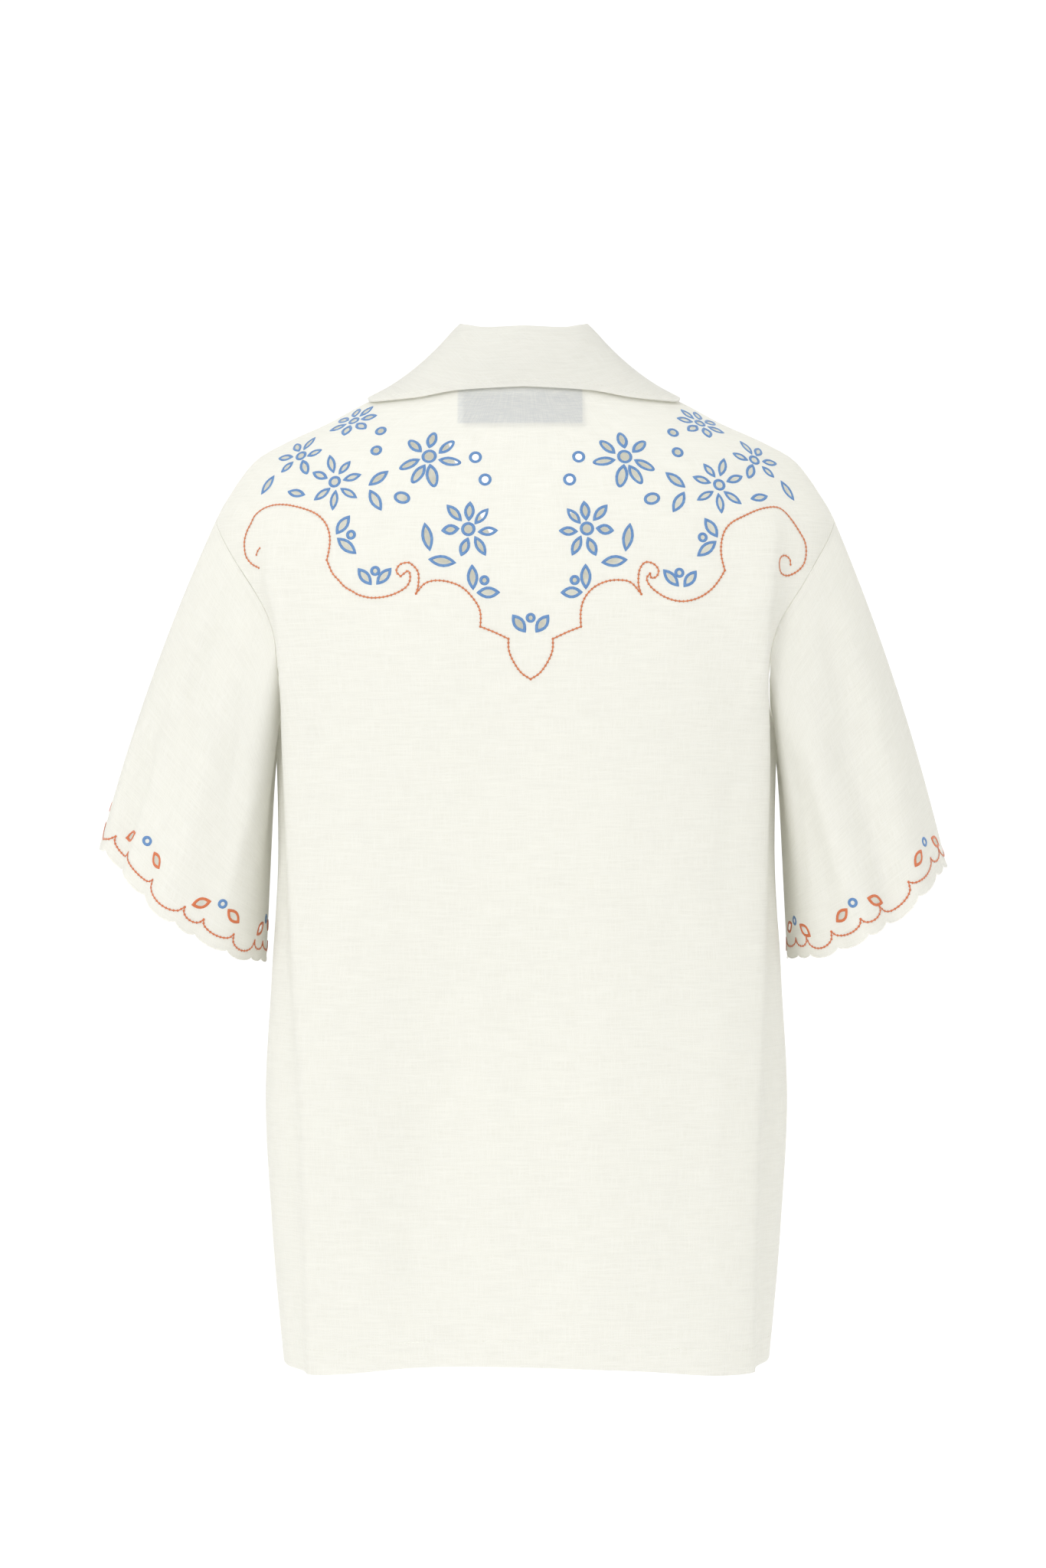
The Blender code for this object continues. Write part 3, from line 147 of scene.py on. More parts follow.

# Creases: turn, height, half length, half width, rise, and lean off the upright
CREASE_COLUMNS = ("turn", "height", "reach", "width", "rise", "lean")
CREASE_ROWS = (
    (0.70, -0.205, 0.075, 0.0075, 0.0016, 14.0),
    (0.62, -0.260, 0.090, 0.0100, -0.0012, 8.0),
    (0.80, -0.330, 0.070, 0.0085, 0.0014, -10.0),
    (0.52, -0.520, 0.110, 0.0120, 0.0016, 4.0),
    (0.30, -0.610, 0.095, 0.0140, -0.0013, -6.0),
    (0.08, -0.560, 0.130, 0.0150, 0.0012, 5.0),
    (-0.14, -0.470, 0.120, 0.0140, -0.0011, -4.0),
    (-0.38, -0.600, 0.110, 0.0120, 0.0015, 7.0),
    (-0.66, -0.215, 0.080, 0.0080, 0.0017, -12.0),
    (-0.60, -0.290, 0.085, 0.0100, -0.0012, -7.0),
    (-0.80, -0.360, 0.080, 0.0090, 0.0014, 9.0),
    (-0.55, -0.500, 0.100, 0.0110, 0.0014, -5.0),
    (0.42, -0.152, 0.028, 0.0085, 0.0007, 52.0),
    (-0.44, -0.158, 0.030, 0.0085, 0.0008, -48.0),
    (0.20, -0.262, 0.100, 0.0170, 0.0009, 12.0),
    (-0.24, -0.330, 0.110, 0.0180, 0.0009, -10.0),
    (1.22, -0.300, 0.080, 0.0100, 0.0018, 12.0),
    (1.42, -0.440, 0.120, 0.0130, -0.0016, -6.0),
    (1.66, -0.560, 0.110, 0.0120, 0.0018, 7.0),
    (1.78, -0.250, 0.070, 0.0110, 0.0013, -20.0),
    (1.50, -0.200, 0.060, 0.0100, 0.0013, 34.0),
    (-1.24, -0.310, 0.085, 0.0100, 0.0018, -11.0),
    (-1.40, -0.450, 0.110, 0.0130, -0.0016, 8.0),
    (-1.64, -0.580, 0.120, 0.0120, 0.0017, -6.0),
    (-1.48, -0.205, 0.060, 0.0100, 0.0014, -36.0),
)
CREASE_SWING = 0.0022
CREASE_WAVES = 2.3
CREASE_PHASE = 4000
# The same on a sleeve: side, angle, share of the way down, half length, half width, rise, lean
SLEEVE_CREASE_COLUMNS = ("side", "angle", "down", "reach", "width", "rise", "lean")
SLEEVE_CREASE_ROWS = (
    (1, 58.0, 0.30, 0.050, 0.0050, -0.0016, 6.0),
    (1, 47.0, 0.45, 0.062, 0.0060, 0.0016, 4.0),
    (1, 80.0, 0.62, 0.055, 0.0070, 0.0013, -5.0),
    (1, 92.0, 0.38, 0.050, 0.0060, -0.0012, -8.0),
    (1, 118.0, 0.60, 0.060, 0.0080, 0.0014, 5.0),
    (1, 270.0, 0.50, 0.060, 0.0080, 0.0016, 6.0),
    (1, 235.0, 0.65, 0.050, 0.0070, -0.0014, -6.0),
    (-1, 70.0, 0.42, 0.085, 0.0060, 0.0019, 5.0),
    (-1, 60.0, 0.40, 0.070, 0.0050, -0.0015, 5.0),
    (-1, 96.0, 0.58, 0.060, 0.0075, 0.0013, -4.0),
    (-1, 40.0, 0.60, 0.050, 0.0065, 0.0012, 3.0),
    (-1, 122.0, 0.45, 0.060, 0.0080, -0.0013, -6.0),
    (-1, 268.0, 0.55, 0.060, 0.0080, 0.0016, -6.0),
    (-1, 300.0, 0.45, 0.055, 0.0070, -0.0013, 5.0),
)

# Soft folds of the body: turn, its drift on the way down, top and bottom height,
# rise (a trough's is below nought) and half width
FOLD_COLUMNS = ("turn", "drift", "top", "bottom", "rise", "width")
FOLD_ROWS = (
    (0.46, 0.03, -0.30, -0.80, 0.0030, 0.024),
    (0.25, -0.02, -0.38, -0.80, -0.0020, 0.030),
    (-0.20, 0.02, -0.33, -0.80, 0.0022, 0.028),
    (-0.50, -0.03, -0.26, -0.80, 0.0032, 0.022),
    (1.30, 0.05, -0.22, -0.80, 0.0060, 0.022),
    (1.58, 0.03, -0.30, -0.80, -0.0045, 0.026),
    (-1.28, -0.04, -0.24, -0.80, 0.0055, 0.024),
    (-1.62, -0.02, -0.28, -0.80, -0.0045, 0.026),
    (1.08, 0.00, -0.40, -0.80, -0.0040, 0.020),
    (-1.06, 0.00, -0.38, -0.80, -0.0040, 0.020),
)

# Sleeves: the cuff is an oval that slopes down to the body and sags at front and back.
CUFF_COLUMNS = ("top_x", "top_z", "foot_x", "foot_z", "deep", "sag", "phase", "shift", "lift")
CUFFS = {
    1: (0.3240, -0.3420, 0.1980, -0.4340, 0.0640, 0.0170, 43.0, 0.0117, 0.0055),
    -1: (0.3233, -0.3570, 0.2025, -0.4310, 0.0700, 0.0170, 34.0, 0.0040, 0.0015),
}
SLEEVE_BULGE = 0.006
SLEEVE_LENGTH = 0.256
SLEEVE_ROUND = 0.0708
CUFF_REPEATS = 6
CUFF_REPEAT = 0.074
SLEEVE_START_LIFT = 0.0010
# A place in the left sleeve's hollow
SLEEVE_MIDDLE = (0.222, 0.0, -0.28)
SLEEVE_FOLD_COLUMNS = ("side", "angle", "drift", "start", "end", "rise", "width")
SLEEVE_FOLD_ROWS = (
    (1, 40.0, -4.0, 0.45, 1.30, -0.0075, 0.010),
    (1, 30.0, -4.0, 0.40, 1.30, 0.0045, 0.012),
    (1, 72.0, 6.0, 0.06, 1.25, 0.0040, 0.017),
    (1, 100.0, 6.0, 0.25, 1.25, -0.0030, 0.016),
    (1, 62.0, 0.0, 0.00, 0.60, -0.0045, 0.012),
    (1, 250.0, 8.0, 0.10, 1.25, -0.0050, 0.018),
    (1, 300.0, -6.0, 0.20, 1.25, 0.0045, 0.018),
    (-1, 66.0, 8.0, 0.02, 1.20, -0.0070, 0.013),
    (-1, 50.0, 6.0, 0.05, 1.25, 0.0045, 0.016),
    (-1, 92.0, 6.0, 0.10, 1.25, 0.0040, 0.016),
    (-1, 112.0, 0.0, 0.20, 1.10, -0.0030, 0.014),
    (-1, 255.0, 6.0, 0.15, 1.25, -0.0050, 0.018),
    (-1, 305.0, -6.0, 0.10, 1.25, 0.0045, 0.018),
)
# Scallops of the cuff's edge: start and end round the repeat, and depth
SCALLOP_COLUMNS = ("start", "end", "depth")
SCALLOP_ROWS = (
    (-0.0185, -0.0015, 0.0045),
    (-0.0015, 0.0275, 0.0050),
    (0.0275, 0.0555, 0.0065),
)
CUFF_LEAF_COLUMNS = ("along", "up", "length", "width", "angle")
CUFF_LEAF_ROWS = (
    (-0.022, 0.0160, 0.0160, 0.0090, 45.0),
    (0.008, 0.0190, 0.0165, 0.0090, -20.0),
)

# Yoke motifs, for the side +X: both ends of each eye as seen from behind, and its width
EYE_COLUMNS = ("inner_x", "inner_z", "outer_x", "outer_z", "width", "blunt")
EYE_ROWS = (
    (0.0733, -0.0511, 0.0693, -0.0391, 0.0083, 0.9),
    (0.0663, -0.0550, 0.0548, -0.0454, 0.0078, 0.9),
    (0.0668, -0.0595, 0.0496, -0.0618, 0.0076, 0.9),
    (0.0728, -0.0626, 0.0693, -0.0801, 0.0095, 0.9),
    (0.0763, -0.0631, 0.0863, -0.0773, 0.0085, 0.9),
    (0.0803, -0.0592, 0.0958, -0.0669, 0.0076, 0.9),
    (0.0786, -0.0540, 0.0883, -0.0453, 0.0080, 0.9),
    (0.0442, -0.1053, 0.0429, -0.0903, 0.0080, 0.0),
    (0.0400, -0.1075, 0.0294, -0.0955, 0.0070, 0.0),
    (0.0379, -0.1132, 0.0226, -0.1119, 0.0073, 0.0),
    (0.0403, -0.1162, 0.0324, -0.1309, 0.0074, 0.0),
    (0.0450, -0.1173, 0.0509, -0.1314, 0.0079, 0.1),
    (0.0513, -0.1107, 0.0651, -0.1125, 0.0084, 0.1),
    (0.0492, -0.1053, 0.0604, -0.0930, 0.0076, 0.0),
    (0.1443, -0.0707, 0.1473, -0.0570, 0.0068, 0.0),
    (0.1410, -0.0716, 0.1321, -0.0613, 0.0065, 0.0),
    (0.1381, -0.0759, 0.1240, -0.0713, 0.0066, 0.0),
    (0.1398, -0.0818, 0.1272, -0.0890, 0.0062, 0.0),
    (0.1430, -0.0830, 0.1455, -0.0986, 0.0066, 0.0),
    (0.1471, -0.0817, 0.1596, -0.0914, 0.0070, 0.0),
    (0.1491, -0.0748, 0.1604, -0.0703, 0.0070, 0.2),
    (0.1701, -0.0549, 0.1723, -0.0492, 0.0070, 0.6),
    (0.1668, -0.0539, 0.1581, -0.0439, 0.0065, 0.1),
    (0.1646, -0.0585, 0.1534, -0.0533, 0.0065, 0.6),
    (0.1678, -0.0611, 0.1643, -0.0718, 0.0076, 0.6),
    (0.1746, -0.0625, 0.1838, -0.0709, 0.0065, 0.3),
    (0.1748, -0.0592, 0.1858, -0.0604, 0.0068, 0.6),
    (0.1888, -0.0730, 0.1991, -0.0877, 0.0080, 0.0),
    (0.1658, -0.0876, 0.1788, -0.0853, 0.0074, 0.2),
    (0.1038, -0.0683, 0.1188, -0.0796, 0.0083, 0.0),
    (0.1178, -0.0825, 0.1090, -0.0981, 0.0085, 0.0),
    (0.0772, -0.1065, 0.0738, -0.1279, 0.0086, 0.0),
    (0.0755, -0.1339, 0.0546, -0.1364, 0.0090, 0.0),
    (0.1326, -0.1020, 0.1435, -0.1164, 0.0088, 0.0),
    (0.1430, -0.1190, 0.1289, -0.1307, 0.0086, 0.0),
    (0.1281, -0.1414, 0.1181, -0.1539, 0.0082, 0.0),
    (0.1031, -0.1408, 0.1146, -0.1535, 0.0082, 0.0),
    (0.0429, -0.1373, 0.0425, -0.1566, 0.0086, 0.0),
    (0.0402, -0.1585, 0.0225, -0.1581, 0.0090, 0.0),
    (0.0137, -0.1746, 0.0037, -0.1880, 0.0090, 0.0),
    (0.0996, -0.0863, 0.0879, -0.0900, 0.0098, 1.0),
)
# Rings: x, z and outer radius
RING_ROWS = (
    (0.0735, -0.0571, 0.0058),
    (0.0448, -0.1111, 0.0054),
    (0.1440, -0.0771, 0.0049),
    (0.1691, -0.0581, 0.0046),
    (0.1296, -0.0314, 0.0046),
    (0.1096, -0.0386, 0.0046),
    (0.1130, -0.0532, 0.0046),
    (0.0390, -0.0574, 0.0049),
    (0.0318, -0.0740, 0.0049),
    (0.1325, -0.1165, 0.0038),
    (0.1153, -0.1432, 0.0038),
    (0.0340, -0.1492, 0.0038),
    (0.0000, -0.1770, 0.0037),
)
# The flower on top of the shoulder: angles from the outward way
FLOWER_COLUMNS = ("x", "z", "petals", "first", "reach", "length", "width")
TOP_FLOWER = (0.1297, -0.0315, 7, 112.3, 0.0128, 0.0140, 0.0082)

# The front opening's roll line, and the lapel that turns out from it
ROLL_COLUMNS = ("height", "x")
ROLL_ROWS = (
    (0.018, 0.0680),
    (0.003, 0.0710),
    (-0.020, 0.0660),
    (-0.050, 0.0540),
    (-0.090, 0.0345),
    (-0.130, 0.0130),
    (-0.155, -0.0010),
)
# X and height of the lapel's corners
LAPEL_ROWS = (
    (0.0895, -0.0668),
    (0.1130, -0.1010),
    (0.0830, -0.1170),
    (0.0450, -0.1390),
    (0.0120, -0.1560),
)
LAPEL_TOP = -0.0500
LAPEL_FOOT = -0.1500
COLLAR_COLUMNS = ("t", "seam", "edge", "edge_height", "rise", "lean", "bow")
COLLAR_ROWS = (
    (0.00, 0.00, 0.00, -0.0016, 0.0400, 0.0050, 0.0060),
    (0.20, 0.36, 0.37, -0.0046, 0.0378, 0.0080, 0.0050),
    (0.30, 0.55, 0.57, -0.0098, 0.0335, 0.0120, 0.0020),
    (0.40, 0.75, 0.78, -0.0112, 0.0285, 0.0190, -0.0030),
    (0.50, 0.96, 0.99, -0.0060, 0.0258, 0.0225, -0.0052),
    (0.60, 1.13, 1.15, -0.0100, 0.0235, 0.0215, -0.0040),
    (0.70, 1.30, 1.31, -0.0240, 0.0200, 0.0150, -0.0010),
    (0.85, 1.50, 1.46, -0.0520, 0.0105, 0.0060, 0.0030),
    (1.00, 1.70, 1.55, -0.0750, 0.0040, 0.0000, 0.0030),
)
COLLAR_END_HEIGHT = -0.0450
COLLAR_ROLL_RADIUS = 0.0030
COLLAR_SEAM_LIFT = 0.0006
COLLAR_FRONT_FROM = 0.66

# The cloth and threads that are seen, and how fine their meshes are
BACK_STEP = 0.0048
FRONT_STEP = 0.006
SLEEVE_STEP = 0.0046
LABEL_STEP = 0.004
CLOTH = 0.0006
COLLAR_CLOTH = 0.0011
COLLAR_SECTIONS = 121
PETAL_BLUNT = 0.3
SATIN_LIFT = 0.00045
THREAD_FLOAT = 0.00003
# Across a satin band from the eye outwards: share of the width, share of the lift
BAND_ROWS = ((-0.06, -0.05), (0.12, 0.62), (0.35, 1.0), (0.62, 0.94), (0.88, 0.55), (1.04, -0.05))
BEAD_STEP = 0.00305
BEAD_SIZE = 0.00108
BEAD_THREAD = 0.00045
LINE_LIFT = 0.0002
SMALL_RING = 0.0038
CUFF_RING_AT = (-0.007, 0.024)

# The orange lines of the yoke as seen, in mm outwards and up: runs between corners
YOKE_POINT = (
    ((0.0, -222.8), (7.0, -218.0), (13.0, -209.4), (16.3, -201.0), (16.6, -192.7)),
    ((16.6, -192.7), (27.0, -187.8), (37.5, -183.6)),
)
YOKE_LEFT = (
    ((37.5, -183.6), (37.3, -175.0), (38.8, -169.0), (42.0, -163.8), (47.3, -157.5), (53.0, -153.2),
     (60.0, -150.5), (66.5, -149.3), (73.5, -149.5), (79.7, -152.0), (85.5, -159.0)),
    ((85.5, -159.0), (84.0, -154.0), (83.5, -146.0), (85.0, -141.0), (90.0, -136.2), (93.5, -136.0),
     (97.0, -137.0), (99.5, -139.7), (100.0, -143.0), (97.0, -146.0)),
    ((97.0, -146.0), (94.5, -144.0), (91.5, -142.0), (90.0, -144.5), (90.0, -148.5), (91.3, -152.0),
     (94.0, -155.0), (100.0, -158.5), (106.0, -160.7), (112.0, -161.8), (120.0, -162.0),
     (128.0, -160.0), (132.5, -157.5), (138.5, -154.0), (143.3, -148.8), (148.0, -143.3),
     (152.0, -134.0)),
    ((152.0, -134.0), (150.5, -127.0), (149.7, -120.0), (150.3, -113.5), (152.7, -107.0),
     (156.5, -102.3), (161.0, -99.0), (167.0, -96.5), (175.5, -94.3), (184.5, -93.2),
     (194.5, -94.0), (200.5, -96.0), (205.7, -100.0), (208.8, -105.7), (211.8, -111.5),
     (213.8, -118.5), (214.0, -125.0), (212.8, -131.8), (209.0, -137.0), (203.5, -139.8)),
    ((202.5, -125.0), (204.3, -127.0), (205.5, -130.0)),
)
YOKE_RIGHT = (
    ((37.5, -183.6), (37.3, -173.5), (39.0, -165.0), (43.0, -158.3), (48.7, -153.3), (57.0, -149.7),
     (66.5, -148.8), (75.0, -150.8), (82.6, -159.4)),
    ((82.6, -159.4), (80.8, -154.5), (80.3, -148.9), (81.1, -141.7), (84.0, -136.6), (87.7, -135.4),
     (92.6, -137.4), (95.4, -141.7), (94.0, -146.0), (90.3, -147.4), (89.0, -144.0)),
    ((89.0, -144.0), (86.6, -147.5), (88.5, -152.5), (93.5, -157.3), (100.4, -161.6),
     (109.2, -164.5), (118.0, -164.3), (127.0, -161.2), (135.0, -155.5), (141.0, -148.0),
     (144.6, -141.7)),
    ((144.6, -141.7), (142.5, -133.0), (141.9, -125.5), (142.7, -118.3), (145.0, -111.6),
     (150.2, -105.8), (159.0, -101.3), (170.4, -96.7), (182.0, -95.0), (188.8, -97.3),
     (195.5, -104.2), (201.0, -112.5), (205.0, -120.5), (205.8, -129.0), (204.0, -137.3),
     (198.8, -143.1), (192.3, -145.5), (186.4, -143.1), (184.2, -137.0), (185.7, -132.2),
     (190.1, -130.4), (194.3, -133.2), (195.0, -137.3)),
)
YOKE_LINES = {1: YOKE_POINT + YOKE_LEFT, -1: YOKE_POINT + YOKE_RIGHT}

# Rows of sewing, the cuff's corded edge and the buttonholes
STITCH_PITCH = 0.0031
STITCH_LENGTH = 0.0024
STITCH_WIDTH = 0.0005
STITCH_RISE = 0.00022
STITCH_IN = 0.0020
HEM_FOLD = 0.0190
PLACKET_TOP = -0.1660
PLACKET_FOLD = 0.0240
COLLAR_STITCH_IN = 0.0050
CORD_RADIUS = 0.00055
BUTTONHOLE_LENGTH = 0.0165
BUTTONHOLE_WIDTH = 0.0040
BUTTONHOLE_INSET = 0.0018

# The cuff's orange line: scallops round one repeat, and how deep each hangs
CHAIN_UP = 0.0118
CHAIN_ROWS = (
    (-0.0185, -0.0015, 0.0062),
    (-0.0015, 0.0275, 0.0062),
    (0.0275, 0.0555, 0.0098),
)

# Camera and studio
CAMERA_PLACE = (0.0006, 3.61, -0.301)
CAMERA_LENS = 107.7
FLOOR_HEIGHT = -1.30
FLOOR_RADIUS = 2.2
FLOOR_SIDES = 96
SURROUND_STRENGTH = 1.12
KEY_PLACE = (1.6, 3.0, 1.3)
KEY_TARGET = (0.0, 0.0, -0.3)
KEY_SIZE = 1.2
KEY_WATTS = 34.0
# X, height and watts of the small lights in the hollows, which stand for light through thin cloth
INSIDE_LIGHTS = (
    (0.10, -0.11, 0.07),
    (0.0, -0.14, 0.07),
    (-0.10, -0.11, 0.07),
    (0.0, -0.34, 0.12),
    (0.0, -0.52, 0.12),
    (0.0, -0.68, 0.08),
    (0.235, -0.33, 0.04),
    (-0.235, -0.33, 0.04),
)


def column(rows, names, name):
    return np.array([row[names.index(name)] for row in rows], dtype=float)


def named(names, rows):
    return [dict(zip(names, row)) for row in rows]


def smooth_line(places, values):
    """A monotone cubic through a table's rows; places rise or fall steadily."""
    order = np.argsort(places)
    xs = np.asarray(places, dtype=float)[order]
    ys = np.asarray(values, dtype=float)[order]
    step = np.diff(xs)
    slope = np.diff(ys) / step
    lean = np.zeros(len(xs))
    for i in range(1, len(xs) - 1):
        if slope[i - 1] * slope[i] > 0:
            left = 2 * step[i] + step[i - 1]
            right = step[i] + 2 * step[i - 1]
            lean[i] = (left + right) / (left / slope[i - 1] + right / slope[i])
    lean[0] = slope[0]
    lean[-1] = slope[-1]

    def value(at):
        at = np.clip(np.asarray(at, dtype=float), xs[0], xs[-1])
        i = np.clip(np.searchsorted(xs, at, side="right") - 1, 0, len(xs) - 2)
        h = step[i]
        u = (at - xs[i]) / h
        return (ys[i] * (1 + 2 * u) * (1 - u) ** 2 + h * lean[i] * u * (1 - u) ** 2
                + ys[i + 1] * u * u * (3 - 2 * u) + h * lean[i + 1] * u * u * (u - 1))

    return value


def table_line(rows, names, place, value):
    return smooth_line(column(rows, names, place), column(rows, names, value))


half_width_at, back_depth_at, front_depth_at, power_at, sway_at = (
    table_line(BODY_ROWS, BODY_COLUMNS, "height", name) for name in BODY_COLUMNS[1:])
ridge_rise_at = table_line(RIDGE_ROWS, RIDGE_COLUMNS, "height", "rise")
ridge_x_at = {
    1: table_line(RIDGE_ROWS, RIDGE_COLUMNS, "height", "left_x"),
    -1: table_line(RIDGE_ROWS, RIDGE_COLUMNS, "height", "right_x"),
}
roll_x_at = table_line(ROLL_ROWS, ROLL_COLUMNS, "height", "x")


def smoothstep(low, high, value):
    u = np.clip((np.asarray(value, dtype=float) - low) / (high - low), 0, 1)
    return u * u * (3 - 2 * u)


def as_places(turn, height):
    turn = np.atleast_1d(np.asarray(turn, dtype=float))
    return turn, np.broadcast_to(np.asarray(height, dtype=float), turn.shape)


def unit(vector):
    return vector / np.linalg.norm(vector)


def units(vectors):
    """Each row brought to length one."""
    return vectors / np.linalg.norm(vectors, axis=-1)[..., None]


def run_along(line):
    """Distances along a line of points, from its first."""
    step = np.linalg.norm(np.diff(line, axis=0), axis=1)
    return np.concatenate([[0.0], np.cumsum(step)])


def looked_up(table, run, at):
    """Points of a table of three columns at distances between its rows."""
    return np.stack([np.interp(at, run, table[:, i]) for i in range(3)], axis=1)


def curve_between(a, b, c, d, u):
    """A share u of the way from b to c on the Catmull-Rom curve through a, b, c and d."""
    return 0.5 * (2 * b + (c - a) * u + (2 * a - 5 * b + 4 * c - d) * u * u
                  + (3 * b - a - 3 * c + d) * u ** 3)


def quarter(height, front):
    """Points along a quarter of the body's ring, from its middle to the side."""
    height = np.atleast_1d(np.asarray(height, dtype=float))
    front = np.atleast_1d(front)
    angle = np.linspace(0, math.pi / 2, 49)
    bend = (2 / power_at(height))[:, None]
    depth = np.where(front, front_depth_at(height), back_depth_at(height))[:, None]
    x = half_width_at(height)[:, None] * np.sin(angle)[None, :] ** bend
    y = depth * np.cos(angle)[None, :] ** bend
    length = np.zeros_like(x)
    length[:, 1:] = np.cumsum(np.hypot(np.diff(x, axis=1), np.diff(y, axis=1)), axis=1)
    return x, y, length


def ring_point(turn, height):
    """The plain body, before its folds."""
    turn, height = as_places(turn, height)
    wrapped = (turn + 2) % 4 - 2
    side = np.where(wrapped < 0, -1.0, 1.0)
    place = np.abs(wrapped)
    front = place > 1
    share = np.where(front, 2 - place, place)
    x, y, length = quarter(height, front)
    target = share * length[:, -1]
    index = np.clip((length < target[:, None]).sum(axis=1) - 1, 0, x.shape[1] - 2)
    row = np.arange(len(index))
    span = np.maximum(length[row, index + 1] - length[row, index], 1e-12)
    u = (target - length[row, index]) / span
    px = x[row, index] * (1 - u) + x[row, index + 1] * u
    py = y[row, index] * (1 - u) + y[row, index + 1] * u
    return np.stack([px * side + sway_at(height), np.where(front, -py, py), height], axis=1)


def turn_at(height, front, x=None, y=None):
    """The turn on the +X side where the plain ring has this x, or this y."""
    xs, ys, length = quarter(height, front)
    share = length[0] / length[0][-1]
    if x is not None:
        place = float(np.interp(abs(x), xs[0], share)) * (1 if x >= 0 else -1)
    else:
        place = float(np.interp(abs(y), ys[0][::-1], share[::-1]))
    return 2 - place if front else place


def back_turns(height, x):
    """The turns on the back where the plain rings have these x from their middles."""
    xs, _, length = quarter(height, False)
    reach = np.minimum(np.abs(x), xs[:, -1])
    index = np.clip((xs < reach[:, None]).sum(axis=1) - 1, 0, xs.shape[1] - 2)
    row = np.arange(len(index))
    u = (reach - xs[row, index]) / np.maximum(xs[row, index + 1] - xs[row, index], 1e-12)
    run = length[row, index] * (1 - u) + length[row, index + 1] * u
    return np.sign(x) * run / length[:, -1]


def quarter_length(height, front):
    return quarter(height, front)[2][:, -1]


def ridge_turns(side):
    heights = np.linspace(*RIDGE_SPAN, 40)
    turns = [turn_at(h, False, x=float(ridge_x_at[side](h) - side * sway_at(h))) for h in heights]
    return smooth_line(heights, turns)


ridge_turn_at = {1: ridge_turns(1), -1: ridge_turns(-1)}


def fold_rise(turn, height):
    """How far the folds lift the cloth off the plain body."""
    turn = np.asarray(turn, dtype=float)
    height = np.asarray(height, dtype=float)
    size = quarter_length(height, np.abs(turn) > 1)
    rise = np.zeros(turn.shape)
    for side in (1, -1):
        past = (side * turn - ridge_turn_at[side](height)) * size
        width = np.where(past < 0, RIDGE_INSIDE_WIDTH, RIDGE_OUTSIDE_WIDTH)
        crest = np.exp(-(past / width) ** 2)
        trough = np.exp(-((past - RIDGE_TROUGH_AT) / RIDGE_TROUGH_WIDTH) ** 2)
        rise += ridge_rise_at(height) * (crest - RIDGE_TROUGH_SHARE * trough)
    for fold in named(FOLD_COLUMNS, FOLD_ROWS):
        down = (fold["top"] - height) / (fold["top"] - fold["bottom"])
        centre = fold["turn"] + fold["drift"] * down
        across = (turn - centre) * size / fold["width"]
        rise += fold["rise"] * smoothstep(0, 0.45, down) * np.exp(-across ** 2)
    for crease in named(CREASE_COLUMNS, CREASE_ROWS):
        rise += crease_rise((turn - crease["turn"]) * size, height - crease["height"], crease)
    return rise


def crease_rise(across, up, crease):
    """One uneven soft ridge or trough, at offsets in metres from its middle."""
    lean = math.radians(crease["lean"])
    side = across * math.cos(lean) - up * math.sin(lean)
    along = (across * math.sin(lean) + up * math.cos(lean)) / crease["reach"]
    side = side + CREASE_SWING * np.sin(CREASE_WAVES * along + CREASE_PHASE * crease["width"])
    width = crease["width"] * (1 + 0.35 * along)
    return crease["rise"] * np.exp(-(side / width) ** 2 - along ** 4)


def normals_of(surface, turn, height):
    across = surface(turn + SMALL_STEP, height) - surface(turn - SMALL_STEP, height)
    up = surface(turn, height + SMALL_STEP) - surface(turn, height - SMALL_STEP)
    return units(np.cross(across, up))


def body_point(turn, height):
    """The outer face of the cloth, folds and all."""
    turn, height = as_places(turn, height)
    plain = ring_point(turn, height)
    normal = -normals_of(ring_point, turn, height)
    return plain + normal * fold_rise(turn, height)[:, None]


def body_normal(turn, height):
    turn, height = as_places(turn, height)
    return -normals_of(body_point, turn, height)


def right_front_point(turn, height):
    """The right front's middle runs under the left front's."""
    point = body_point(turn, height)
    from_middle = sway_at(point[:, 2]) - point[:, 0]
    under = (1 - smoothstep(*LAP_RAMP, from_middle)) * (point[:, 1] < 0)
    return point - body_normal(turn, height) * (under * (WALL + LAP_GAP))[:, None]


def back_places(seen_x, seen_z):
    """Turns and heights of places on the back, as seen from behind in the shirt's frame."""
    true_x, true_z = seen_x, seen_z
    for _ in range(6):
        turn = back_turns(true_z, true_x - sway_at(true_z))
        depth = body_point(turn, true_z)[:, 1]
        scale = 1 + (VIEW_PLANE - depth) / VIEW_DISTANCE
        true_x = seen_x * scale
        true_z = VIEW_HEIGHT + (seen_z - VIEW_HEIGHT) * scale
    return np.stack([turn, true_z], axis=1)


def seen_places(side, points):
    """The same for motifs that are given for one side of the yoke."""
    x, z = np.asarray(points, dtype=float).T
    shift = YOKE_SWAY * smoothstep(*SWAY_HEIGHTS, z)
    lift = side * YOKE_TILT * (np.abs(x) / YOKE_TILT_AT) ** 1.5
    if side < 0:
        outer = smoothstep(*RIGHT_FROM, x)
        shift = shift + RIGHT_INWARD * outer * (1 - smoothstep(*RIGHT_UNTIL, x))
        foot = smoothstep(*RIGHT_FOOT_FROM, x) * smoothstep(*RIGHT_FOOT_BELOW, -z)
        shift = shift + RIGHT_FOOT_INWARD * foot
        lift = lift + RIGHT_LIFT * outer
    return back_places(YOKE_CENTRE + side * x + shift, z + lift)


def slopes(surface, turn, height):
    """How a surface's point moves with turn and with height."""
    ahead, behind = surface(turn + SMALL_STEP, height), surface(turn - SMALL_STEP, height)
    above, below = surface(turn, height + SMALL_STEP), surface(turn, height - SMALL_STEP)
    return (ahead - behind) / (2 * SMALL_STEP), (above - below) / (2 * SMALL_STEP)


